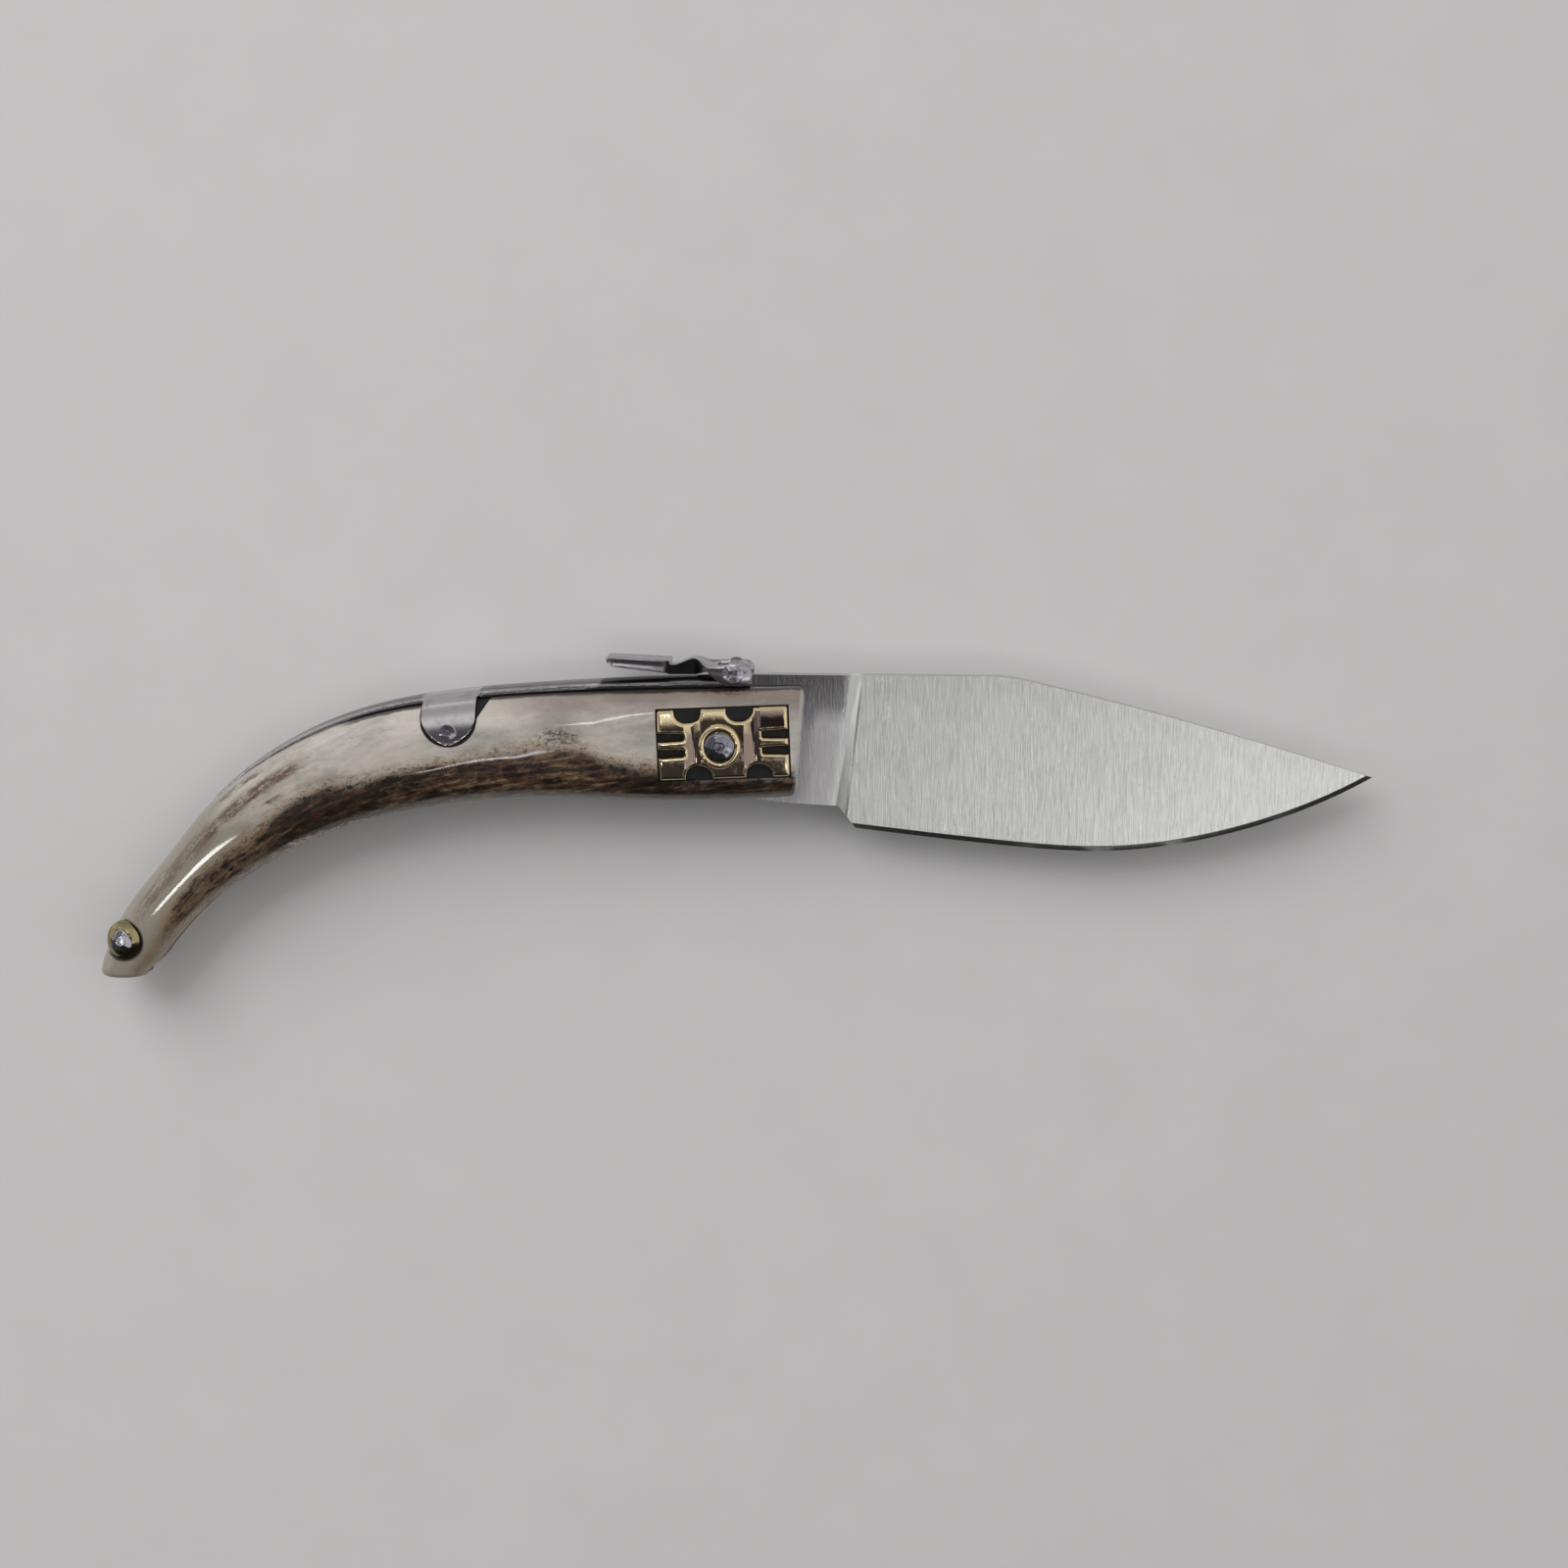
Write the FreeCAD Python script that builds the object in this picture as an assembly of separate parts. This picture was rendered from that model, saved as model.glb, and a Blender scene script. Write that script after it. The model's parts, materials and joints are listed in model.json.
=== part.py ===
import FreeCAD, Part
import functools
import math
import os

from FreeCAD import Vector

# A lever-lock folding knife, open and lying on its left side.
# Millimetres: +X runs from the butt to the tip, +Y from the belly to the back, +Z up.
# Every piece is drawn about the blade's mid-plane with the pivot axis at X = Y = 0,
# then raised so that the flat of the lower pivot rivet lies on Z = 0.

# Antler handle
HANDLE_REACH = 99.6
HANDLE_DROP = 39.4
HANDLE_HEIGHT = 18.8
HANDLE_THICKNESS = 14.0
NOSE_LENGTH = 12.6
NOSE_RISE = 0.25
NOSE_LEAN_DEGREES = 5.0
NOSE_EDGE_RADIUS = 0.9
BUTT_EDGE_RADIUS = 1.0

# Cross-sections of the handle from the nose to the butt, as shares of the sizes above
SECTION_REACH_SHARES = (0.0, 0.14, 0.281, 0.422, 0.562, 0.683, 0.798, 0.889, 0.969, 1.0)
SECTION_DROP_SHARES = (0.004, 0.008, 0.009, 0.033, 0.096, 0.208, 0.386, 0.596, 0.838, 1.0)
SECTION_HEIGHT_SHARES = (0.984, 1.0, 0.989, 0.935, 0.915, 0.904, 0.84, 0.734, 0.57, 0.516, 0.45)
SECTION_THICKNESS_SHARES = (0.87, 0.886, 0.93, 0.97, 1.0, 0.985, 0.93, 0.845, 0.745, 0.66, 0.59)
SECTION_SQUARENESS = (3.0, 3.0, 2.9, 2.8, 2.7, 2.6, 2.5, 2.4, 2.3, 2.3, 2.3)
SECTION_SIDES = 24
END_STEPS = 2

# Blade and tang
BLADE_REACH = 104.6
BLADE_THICKNESS = 2.8
TIP_DROP = 5.9
SPINE_RISE = 10.95
CLIP_REACH = 44.0
CLIP_RISE = 10.55
EDGE_DEPTH = 18.05
HEEL_REACH = 21.6
HEEL_DEPTH = 14.4
RICASSO_REACH = 18.7
RICASSO_DEPTH = 10.5
KICK_REACH = 10.6
KICK_DEPTH = 10.0
CLIP_ALONG_SHARES = (0.068, 0.132, 0.302, 0.561)
CLIP_FALL_SHARES = (0.03, 0.085, 0.242, 0.504)
EDGE_ALONG_SHARES = (0.129, 0.265, 0.49, 0.723, 0.919)
EDGE_DEPTH_SHARES = (0.87, 0.939, 1.0, 0.842, 0.522)

# Grind: full flat from the plunge line, with a sharpened bevel along the edge
PLUNGE_REACH = 18.7
PLUNGE_LEAN_DEGREES = 6.8
PLUNGE_RADIUS = 3.0
GRIND_EDGE_THICKNESS = 0.6
DISTAL_TAPER = 0.3
BEVEL_WIDTH = 0.85
SHARP_THICKNESS = 0.06
BEVEL_SECTIONS = 14

# Lock: a tooth on the tang stands in a window of the spring, behind the bar of the spring
TANG_SINK = 0.7
TOOTH_RISE = 0.6
TOOTH_LENGTH = 3.2
NOTCH_SINK = 0.6
BAR_LENGTH = 5.1
BAR_SETBACK = 0.3
LOCK_CLEARANCE = 0.15
WINDOW_CLEARANCE = 0.25

# Folding and slot
FOLD_DEGREES = 156.3
SLOT_SPARE_DEGREES = 0.5
SLOT_CLEARANCE = 0.12
SLOT_END_GAP = 0.5
SLOT_OPEN_DEGREES = 14.0

# Back spring with two folded ears
SPRING_THICKNESS = 1.7
SPRING_WIDTH = 5.8
SPRING_SEAT = 0.35
SPRING_TAIL_WIDTH = 2.4
SPRING_THICKNESS_SHARES = (1.0, 1.0, 0.92, 0.8, 0.76, 0.72, 0.62, 0.2)
SPRING_SEAT_CLEARANCE = 0.05
EYE_RADIUS = 1.8
EAR_WIDTH = 8.8
EAR_DROP = 2.05
EAR_PROUD = 0.2
EAR_SUNK = 0.9
EAR_SEAT_CLEARANCE = 0.05
EAR_MARGIN = 0.3
EAR_GAP_WIDTH = 3.4
BEDDING_SUNK = 0.15

# Release lever
LEVER_PIN_X = 2.1
LEVER_PIN_RISE = 2.0
PAD_END_X = 18.4
PAD_LENGTH = 10.2
PAD_WIDTH = 6.4
PAD_TOP_RISE = 4.5
PAD_TIP_THICKNESS = 0.5
PAD_CHAMFER_LENGTH = 1.1
PAD_CHAMFER_DEPTH = 0.8
PAD_ROOT_THICKNESS = 1.85
NECK_WIDTH = 3.6
NECK_TOP_RISE = 3.95
NECK_STEP = 0.75
NECK_DIP_LENGTH = 1.2
NECK_RISE_LENGTH = 2.6
FLARE_LENGTH = 1.9
YOKE_THICKNESS = 1.05
CHEEK_THICKNESS = 1.2
CHEEK_CROWN = 1.75
CHEEK_FRONT = 2.8
CHEEK_SOLE = 2.0
CHEEK_CLEARANCE = 0.1
TOE_RADIUS = 3.75
TOE_DEGREES = 36.0

# Rivets
RUNNING_CLEARANCE = 0.04
FIXED_CLEARANCE = 0.02
PIVOT_PIN_RADIUS = 2.3
PIVOT_HEAD_PROUD = 0.35
LEVER_PIN_RADIUS = 0.95
LEVER_HEAD_RADIUS = 1.7
LEVER_HEAD_HEIGHT = 0.5
SPRING_PIN_X = 43.6
SPRING_PIN_Y = 2.2
SPRING_PIN_RADIUS = 1.4
SPRING_PIN_PROUD = 0.25
BUTT_PIN_RADIUS = 1.25
BUTT_HEAD_RADIUS = 1.75
BUTT_HEAD_PROUD = 0.55
BUTT_PIN_RISE = 6.6
BUTT_PIN_INSET = 0.7
HEAD_FLAT_SHARE = 0.62

# Bolster plates and their rings
PLATE_LENGTH = 21.0
PLATE_HEIGHT = 11.4
PLATE_CENTRE_X = 0.55
PLATE_CENTRE_Y = 0.4
PLATE_TILT_DEGREES = 2.0
PLATE_PROUD = 0.5
PLATE_BACK = 5.25
BEDDING_THICKNESS = 0.25
PLATE_MARGIN = 0.2
PLATE_CORNER_RADIUS = 0.45
NOTCH_WIDTH = 4.1
NOTCH_DEPTH = 2.1
NOTCH_CORNER_RADIUS = 1.7
TOP_NOTCH_SHARES = (-0.265, 0.132)
BOTTOM_NOTCH_SHARES = (-0.193, 0.27)
FINGER_SLOT_LENGTH = 4.2
FINGER_SLOT_HEIGHT = 1.3
FINGER_SLOT_PITCH = 2.6
FLUTE_RADIUS = 1.8
FLUTE_DEPTH = 0.28
FLUTE_SPACING = 9.6
RING_OUTER_RADIUS = 3.5
RING_INNER_RADIUS = 2.35
RING_HEIGHT = 0.95
RING_SEAT_DEPTH = 0.15

# Butt washers
WASHER_RADIUS = 3.3
WASHER_RIM = 0.45
WASHER_HEIGHT = 1.35
WASHER_SINK = 0.75

# One overrun for every cut that has to pass right through
OVERRUN = 30.0

MID_PLANE = Vector(0, 0, 0)
UP = Vector(0, 0, 1)


def side(x, y, z=0.0):
    """A point given by its place along the knife, its height and its offset from the mid-plane."""
    return Vector(x, y, z)


def turned(point, degrees):
    """The point turned about the pivot axis, counter-clockwise seen from above."""
    turn = FreeCAD.Rotation(UP, degrees)
    return turn.multVec(point)


def line(start, end):
    """A straight edge."""
    return Part.LineSegment(start, end).toShape()


def arc(start, middle, end):
    """A circular edge through three points."""
    return Part.Arc(start, middle, end).toShape()


def spline(points):
    """A smooth edge through the points."""
    curve = Part.BSplineCurve()
    curve.interpolate(points)
    return curve.toShape()


def polygon(points):
    """A closed wire of straight edges."""
    return Part.makePolygon(list(points) + [points[0]])


def prism(wire, low, high):
    """The wire's face, drawn on the mid-plane, made solid from one height to another."""
    face = Part.Face(wire)
    face.translate(UP * low)
    return face.extrude(UP * (high - low))


def through(wire):
    """The wire's face made solid right through the knife."""
    return prism(wire, -OVERRUN, OVERRUN)


def rod(x, y, radius, low, high):
    """A round bar along Z."""
    return Part.makeCylinder(radius, high - low, side(x, y, low), UP)


def rectangle(x_low, x_high, y_low, y_high):
    """A closed rectangular wire on the mid-plane."""
    corners = (side(x_low, y_low), side(x_high, y_low), side(x_high, y_high), side(x_low, y_high))
    return polygon(corners)


def upright_edges(solid):
    """The solid's straight edges along Z."""
    found = []
    for edge in solid.Edges:
        first = edge.Vertexes[0].Point
        last = edge.Vertexes[-1].Point
        run = last - first
        if run.Length > 0 and abs(run.normalize().z) > math.cos(math.radians(1)):
            found.append(edge)
    return found


def other_side(solid):
    """The same piece on the other side of the mid-plane."""
    return solid.mirror(MID_PLANE, UP)


def stations():
    """The handle's sections: centre, direction to the back, half height, half thickness, squareness."""
    centres = [side(NOSE_LENGTH - NOSE_EDGE_RADIUS, NOSE_RISE)]
    for reach_share, drop_share in zip(SECTION_REACH_SHARES, SECTION_DROP_SHARES):
        centres.append(side(-reach_share * HANDLE_REACH, -drop_share * HANDLE_DROP))
    centres[-1] += Vector(0, BUTT_EDGE_RADIUS, 0)
    axis = Part.BSplineCurve()
    axis.interpolate(centres)
    found = []
    for index, centre in enumerate(centres):
        tangent = axis.tangent(axis.parameter(centre))[0]
        to_back = Vector(tangent.y, -tangent.x, 0)
        if index == 0:
            to_back = turned(Vector(0, 1, 0), -NOSE_LEAN_DEGREES)
        if index == len(centres) - 1:
            to_back = Vector(-1, 0, 0)
        half_height = SECTION_HEIGHT_SHARES[index] * HANDLE_HEIGHT / 2
        half_thickness = SECTION_THICKNESS_SHARES[index] * HANDLE_THICKNESS / 2
        found.append((centre, to_back, half_height, half_thickness, SECTION_SQUARENESS[index]))
    return found


def section_wire(station, grow_height, grow_thickness):
    """A rounded-square section of the handle at one station, drawn with straight sides."""
    centre, to_back, half_height, half_thickness, squareness = station
    power = 2 / squareness
    points = []
    for index in range(SECTION_SIDES):
        angle = 2 * math.pi * (index + 0.5) / SECTION_SIDES
        rise = math.copysign(abs(math.cos(angle)) ** power, math.cos(angle))
        out = math.copysign(abs(math.sin(angle)) ** power, math.sin(angle))
        points.append(centre + to_back * (rise * (half_height + grow_height))
                      + UP * (out * (half_thickness + grow_thickness)))
    return polygon(points)


@functools.lru_cache(maxsize=None)
def handle_form(grow_height=0.0, grow_thickness=0.0):
    """The whole handle as one curved form, grown or shrunk all round for what is let into it."""
    wires = [section_wire(station, grow_height, grow_thickness) for station in stations()]
    return Part.makeLoft(wires, True, False)


def outward(station):
    """The direction along the handle at one station, towards the nose."""
    to_back = station[1]
    return Vector(to_back.y, -to_back.x, 0)


def rounded_end(station, direction, radius):
    """The softened end of the handle beyond its last section."""
    wires = []
    for step in range(END_STEPS + 1):
        angle = math.pi / 2 * step / END_STEPS
        shrink = radius * (1 - math.cos(angle))
        centre = station[0] + direction * (radius * math.sin(angle))
        wires.append(section_wire((centre,) + station[1:], -shrink, -shrink))
    return Part.makeLoft(wires, True, True)


def side_height(form, x, y):
    """How far the form stands from the mid-plane at one place."""
    probe = Part.makeLine(side(x, y), side(x, y, OVERRUN))
    return probe.common(form).Length


def above_back(rise):
    """A height measured from the back of the handle at the pivot."""
    return HANDLE_HEIGHT / 2 + rise


def lever_pin_place():
    """Where the lever's rivet stands."""
    return side(LEVER_PIN_X, above_back(LEVER_PIN_RISE))


def spring_pin_place():
    """Where the spring's rivet stands."""
    return side(-SPRING_PIN_X, SPRING_PIN_Y)


def butt_pin_place():
    """Where the butt rivet stands."""
    return side(-HANDLE_REACH + BUTT_PIN_INSET, -HANDLE_DROP + BUTT_PIN_RISE)


def edge_points():
    """The cutting edge from the heel to the tip."""
    points = [side(HEEL_REACH, -HEEL_DEPTH)]
    for along_share, depth_share in zip(EDGE_ALONG_SHARES, EDGE_DEPTH_SHARES):
        along = HEEL_REACH + along_share * (BLADE_REACH - HEEL_REACH)
        points.append(side(along, -depth_share * EDGE_DEPTH))
    points.append(side(BLADE_REACH, -TIP_DROP))
    return points


def clip_edge():
    """The back of the blade from the end of the straight spine to the tip."""
    points = [side(CLIP_REACH, CLIP_RISE)]
    for along_share, fall_share in zip(CLIP_ALONG_SHARES, CLIP_FALL_SHARES):
        along = CLIP_REACH + along_share * (BLADE_REACH - CLIP_REACH)
        points.append(side(along, CLIP_RISE - fall_share * (CLIP_RISE + TIP_DROP)))
    points.append(side(BLADE_REACH, -TIP_DROP))
    return spline(points)


def heel_points():
    """The kick, the underside of the ricasso and the step down to the heel."""
    return (side(KICK_REACH, -KICK_DEPTH), side(RICASSO_REACH, -RICASSO_DEPTH), side(HEEL_REACH, -HEEL_DEPTH))


def bar_end():
    """The front face of the spring's bar."""
    return -BAR_SETBACK + BAR_LENGTH


def on_circle(radius, x):
    """The point of a circle about the pivot above the given place."""
    return side(x, math.sqrt(radius ** 2 - x ** 2))


def blade_outline():
    """The blade and tang seen from the side."""
    kick, ricasso, heel = heel_points()
    tooth_front = -BAR_SETBACK - LOCK_CLEARANCE
    tooth_back = tooth_front - TOOTH_LENGTH
    shoulder = bar_end() + LOCK_CLEARANCE
    tang_radius = above_back(-TANG_SINK)
    tooth_radius = above_back(TOOTH_RISE)
    tooth_root = on_circle(tang_radius, tooth_back)
    tooth_heel = on_circle(tooth_radius, tooth_back)
    tooth_tip = on_circle(tooth_radius, tooth_front)
    tooth_crest = on_circle(tooth_radius, (tooth_front + tooth_back) / 2)
    tang_low = side(0, -tang_radius)
    tang_rear = side(-tang_radius, 0)
    notch_rear = side(tooth_front, above_back(-NOTCH_SINK))
    notch_front = side(shoulder, above_back(-NOTCH_SINK))
    spine_start = side(shoulder, SPINE_RISE)
    edges = [line(spine_start, side(CLIP_REACH, CLIP_RISE)), clip_edge(), spline(edge_points())]
    edges += [line(heel, ricasso), line(ricasso, kick), line(kick, tang_low)]
    edges += [arc(tang_low, tang_rear, tooth_root), line(tooth_root, tooth_heel)]
    edges += [arc(tooth_heel, tooth_crest, tooth_tip), line(tooth_tip, notch_rear)]
    edges += [line(notch_rear, notch_front), line(notch_front, spine_start)]
    return Part.Wire(Part.__sortEdges__(edges))


def grind_height(point):
    """Height of the flat grind above the mid-plane."""
    across = (SPINE_RISE - point.y) / (SPINE_RISE + EDGE_DEPTH)
    along = (point.x - PLUNGE_REACH) / (BLADE_REACH - PLUNGE_REACH)
    slope = (BLADE_THICKNESS - GRIND_EDGE_THICKNESS) / 2
    return BLADE_THICKNESS / 2 - across * slope - along * DISTAL_TAPER


def grind_cutter():
    """What the grinding wheel takes off one face, with its rounded corner along the plunge line."""
    lean = math.tan(math.radians(PLUNGE_LEAN_DEGREES))
    corners = []
    for y in (SPINE_RISE + OVERRUN, -EDGE_DEPTH - OVERRUN):
        corners.append(side(PLUNGE_REACH + lean * y, y))
    for y in (-EDGE_DEPTH - OVERRUN, SPINE_RISE + OVERRUN):
        corners.append(side(BLADE_REACH + OVERRUN, y))
    lifted = [corner + UP * grind_height(corner) for corner in corners]
    wheel = Part.Face(polygon(lifted)).extrude(UP * OVERRUN)
    corner_edge = [edge for edge in wheel.Edges if is_between(edge, lifted[0], lifted[1])]
    return wheel.makeFillet(PLUNGE_RADIUS, corner_edge)


def is_between(edge, first, last):
    """Whether the edge runs between the two points."""
    ends = [vertex.Point for vertex in edge.Vertexes]
    return all(any(end.isEqual(point, SHARP_THICKNESS) for end in ends) for point in (first, last))


def bevel_section(point, tangent):
    """A wedge off one face of the cutting edge, square to the edge."""
    inward = Vector(-tangent.y, tangent.x, 0)
    sharp = point + UP * (SHARP_THICKNESS / 2)
    shoulder_place = point + inward * BEVEL_WIDTH
    shoulder = shoulder_place + UP * grind_height(shoulder_place)
    past = sharp + (shoulder - sharp) * 2
    outer = point - inward * BEVEL_WIDTH
    below = outer + UP * (SHARP_THICKNESS / 2)
    above = outer + UP * past.z
    return polygon((sharp, past, above, below))


def bevel_cutter():
    """What sharpening takes off one face of the cutting edge."""
    edge = spline(edge_points())
    curve = edge.Curve
    first, last = edge.ParameterRange
    sections = []
    for index in range(BEVEL_SECTIONS + 1):
        parameter = first + (last - first) * index / BEVEL_SECTIONS
        tangent = curve.tangent(parameter)[0]
        point = curve.value(parameter)
        if index == 0:
            sections.append(bevel_section(point - tangent * BEVEL_WIDTH, tangent))
        sections.append(bevel_section(point, tangent))
        if index == BEVEL_SECTIONS:
            sections.append(bevel_section(point + tangent * BEVEL_WIDTH, tangent))
    return Part.makeLoft(sections, True, False)


def make_blade():
    """Blade with its tang, ground and sharpened on both faces."""
    blade = prism(blade_outline(), -BLADE_THICKNESS / 2, BLADE_THICKNESS / 2)
    for cutter in (grind_cutter(), bevel_cutter()):
        blade = blade.cut(cutter).cut(other_side(cutter))
    return blade.cut(rod(0, 0, PIVOT_PIN_RADIUS + RUNNING_CLEARANCE, -OVERRUN, OVERRUN))


def slot_wire():
    """The room that the folded blade needs, open at the belly and through the end of the butt."""
    fold = -FOLD_DEGREES - SLOT_SPARE_DEGREES
    floor = spline([turned(point, fold) for point in edge_points()])
    kick, ricasso, heel = [turned(point, fold) for point in heel_points()]
    tip = turned(edge_points()[-1], fold)
    reach = tip.Length + SLOT_END_GAP
    end_top = tip * (reach / tip.Length)
    end_low = turned(end_top, SLOT_OPEN_DEGREES)
    end_middle = turned(end_top, SLOT_OPEN_DEGREES / 2)
    outside = side(0, -HANDLE_DROP)
    edges = [line(side(0, 0), kick), line(kick, ricasso), line(ricasso, heel), floor, line(tip, end_top)]
    edges += [arc(end_top, end_middle, end_low), line(end_low, outside), line(outside, side(0, 0))]
    return Part.Wire(Part.__sortEdges__(edges))


def slot_cutter():
    """The sawn slot, with the round room for the tang and the open fork at the nose."""
    half_width = BLADE_THICKNESS / 2 + SLOT_CLEARANCE
    kick_reach = heel_points()[0].Length + SLOT_END_GAP
    slot = prism(slot_wire(), -half_width, half_width)
    slot = slot.fuse(rod(0, 0, kick_reach, -half_width, half_width))
    fork = rectangle(0, NOSE_LENGTH + OVERRUN, -HANDLE_HEIGHT, HANDLE_HEIGHT)
    return slot.fuse(prism(fork, -half_width, half_width))


def back_curve(rises):
    """A line along the back of the handle, as far above it at each station as the rises say."""
    points = []
    for station, rise in zip(stations(), rises):
        centre, to_back, half_height = station[:3]
        points.append(centre + to_back * (half_height + rise))
    lead = points[0] + outward(stations()[0]) * (NOSE_EDGE_RADIUS * 2)
    return [lead] + points


def strip_rises(extra):
    """How far one face of the spring stands above the back at each station."""
    return [-SPRING_SEAT + share * extra for share in SPRING_THICKNESS_SHARES]


def strip_wire(top_points, bottom_points):
    """A closed wire between two lines along the back."""
    edges = [spline(top_points), line(top_points[-1], bottom_points[-1])]
    edges += [spline(bottom_points), line(bottom_points[0], top_points[0])]
    return Part.Wire(Part.__sortEdges__(edges))


def spring_plan(extra):
    """The strip seen from the back: parallel to the ears, then tapered to the tail."""
    tail = back_curve(strip_rises(0))[-1].x + CHEEK_CLEARANCE
    taper_start = -SPRING_PIN_X - EAR_WIDTH / 2
    wide = SPRING_WIDTH / 2 + extra
    narrow = SPRING_TAIL_WIDTH / 2 + extra
    beyond = NOSE_LENGTH + OVERRUN
    points = ((beyond, -wide), (taper_start, -wide), (tail - extra, -narrow))
    points += ((tail - extra, narrow), (taper_start, wide), (beyond, wide))
    wire = polygon([Vector(x, -HANDLE_DROP - OVERRUN, z) for x, z in points])
    return Part.Face(wire).extrude(Vector(0, HANDLE_DROP + HANDLE_HEIGHT + OVERRUN * 2, 0))


def ear_wire(margin):
    """The outline of the spring's ear, open upwards past the back."""
    pin = spring_pin_place()
    half = EAR_WIDTH / 2 + margin
    low = side(pin.x, pin.y - EAR_DROP - margin)
    middle_y = pin.y - EAR_DROP + EAR_WIDTH / 2
    left = side(pin.x - half, middle_y)
    right = side(pin.x + half, middle_y)
    top_left = side(pin.x - half, middle_y + HANDLE_HEIGHT)
    top_right = side(pin.x + half, middle_y + HANDLE_HEIGHT)
    edges = [arc(left, low, right), line(right, top_right), line(top_right, top_left), line(top_left, left)]
    return Part.Wire(edges)


def ear_recess(margin=EAR_MARGIN):
    """The room let into the handle for the ears, with the wedge filed beside each."""
    pin = spring_pin_place()
    edge_x = pin.x + EAR_WIDTH / 2
    low_y = pin.y - EAR_DROP + EAR_WIDTH / 2
    high_y = low_y + HANDLE_HEIGHT / 4
    gap = EAR_GAP_WIDTH + margin - EAR_MARGIN
    wedge = polygon((side(pin.x, low_y), side(edge_x + margin, low_y), side(edge_x + gap, high_y),
                     side(edge_x + gap, low_y + HANDLE_HEIGHT), side(pin.x, low_y + HANDLE_HEIGHT)))
    return through(ear_wire(margin)).fuse(through(wedge))


def saddle_floor(clearance=0.0):
    """The handle's form under the saddle and the ears."""
    return handle_form(-SPRING_SEAT - clearance, -EAR_SUNK - clearance)


def saddle_rise():
    """How far the top of the spring stands above the back at the ears."""
    return strip_rises(SPRING_THICKNESS)[4]


def make_spring():
    """Back spring: tapered strip, saddle with two ears, lock window and the eye of the lever."""
    strip = through(strip_wire(back_curve(strip_rises(SPRING_THICKNESS)), back_curve(strip_rises(0))))
    strip = strip.common(spring_plan(0))
    strip = strip.common(through(rectangle(-HANDLE_REACH, bar_end(), -HANDLE_DROP, HANDLE_HEIGHT)))
    saddle = through(ear_wire(0)).common(handle_form(saddle_rise(), EAR_PROUD))
    saddle = saddle.cut(saddle_floor())
    saddle = saddle.cut(through(rectangle(-HANDLE_REACH, NOSE_LENGTH, -HANDLE_DROP - OVERRUN, -EAR_DROP)))
    lever_pin = lever_pin_place()
    eye = rod(lever_pin.x, lever_pin.y, EYE_RADIUS, -SPRING_WIDTH / 2, SPRING_WIDTH / 2)
    spring = strip.fuse([saddle, eye]).removeSplitter()
    pin = spring_pin_place()
    window_back = -BAR_SETBACK - LOCK_CLEARANCE - TOOTH_LENGTH - WINDOW_CLEARANCE
    window = prism(rectangle(window_back, -BAR_SETBACK, 0, HANDLE_HEIGHT),
                   -BLADE_THICKNESS / 2 - WINDOW_CLEARANCE, BLADE_THICKNESS / 2 + WINDOW_CLEARANCE)
    holes = [rod(pin.x, pin.y, SPRING_PIN_RADIUS + RUNNING_CLEARANCE, -OVERRUN, OVERRUN),
             rod(lever_pin.x, lever_pin.y, LEVER_PIN_RADIUS + RUNNING_CLEARANCE, -OVERRUN, OVERRUN)]
    return spring.cut([window] + holes)


def spring_seat_cutter():
    """What is filed off the back of the handle so that the spring lies flat on it."""
    bottom = back_curve([-SPRING_SEAT - SPRING_SEAT_CLEARANCE] * len(SPRING_THICKNESS_SHARES))
    top = back_curve([HANDLE_HEIGHT] * len(SPRING_THICKNESS_SHARES))
    return through(strip_wire(top, bottom)).common(spring_plan(CHEEK_CLEARANCE))


def plate_place(solid):
    """A bolster piece drawn about the plate's centre, tilted and moved to its place."""
    solid.rotate(MID_PLANE, UP, PLATE_TILT_DEGREES)
    solid.translate(side(PLATE_CENTRE_X, PLATE_CENTRE_Y))
    return solid


def plate_blank(margin, low, high):
    """The plate's rectangle, made solid from one height to another."""
    half_length = PLATE_LENGTH / 2 + margin
    half_height = PLATE_HEIGHT / 2 + margin
    blank = prism(rectangle(-half_length, half_length, -half_height, half_height), low, high)
    return plate_place(blank)


def plate_cutouts():
    """The notches in the long edges and the finger slots in the ends of a plate."""
    cuts = []
    for shares, edge in ((TOP_NOTCH_SHARES, 1), (BOTTOM_NOTCH_SHARES, -1)):
        for share in shares:
            centre = share * PLATE_LENGTH
            floor = edge * (PLATE_HEIGHT / 2 - NOTCH_DEPTH)
            mouth = edge * (PLATE_HEIGHT / 2 + NOTCH_DEPTH)
            half = NOTCH_WIDTH / 2
            wire = rectangle(centre - half, centre + half, min(floor, mouth), max(floor, mouth))
            notch = prism(wire, 0, OVERRUN)
            cuts.append(notch.makeFillet(NOTCH_CORNER_RADIUS, upright_edges(notch)))
    for end in (-1, 1):
        for level in (-1, 1):
            inner = end * (PLATE_LENGTH / 2 - FINGER_SLOT_LENGTH)
            outer = end * (PLATE_LENGTH / 2 + FINGER_SLOT_LENGTH)
            middle = level * FINGER_SLOT_PITCH / 2
            wire = rectangle(min(inner, outer), max(inner, outer),
                             middle - FINGER_SLOT_HEIGHT / 2, middle + FINGER_SLOT_HEIGHT / 2)
            cuts.append(prism(wire, 0, OVERRUN))
    return [plate_place(cut) for cut in cuts]


def plate_flutes(face_height):
    """The two shallow flutes across a plate, beside the rivet."""
    flutes = []
    for direction in (-1, 1):
        start = Vector(direction * FLUTE_SPACING / 2, -PLATE_HEIGHT, face_height + FLUTE_RADIUS - FLUTE_DEPTH)
        flutes.append(plate_place(Part.makeCylinder(FLUTE_RADIUS, PLATE_HEIGHT * 2, start, Vector(0, 1, 0))))
    return flutes


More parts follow.
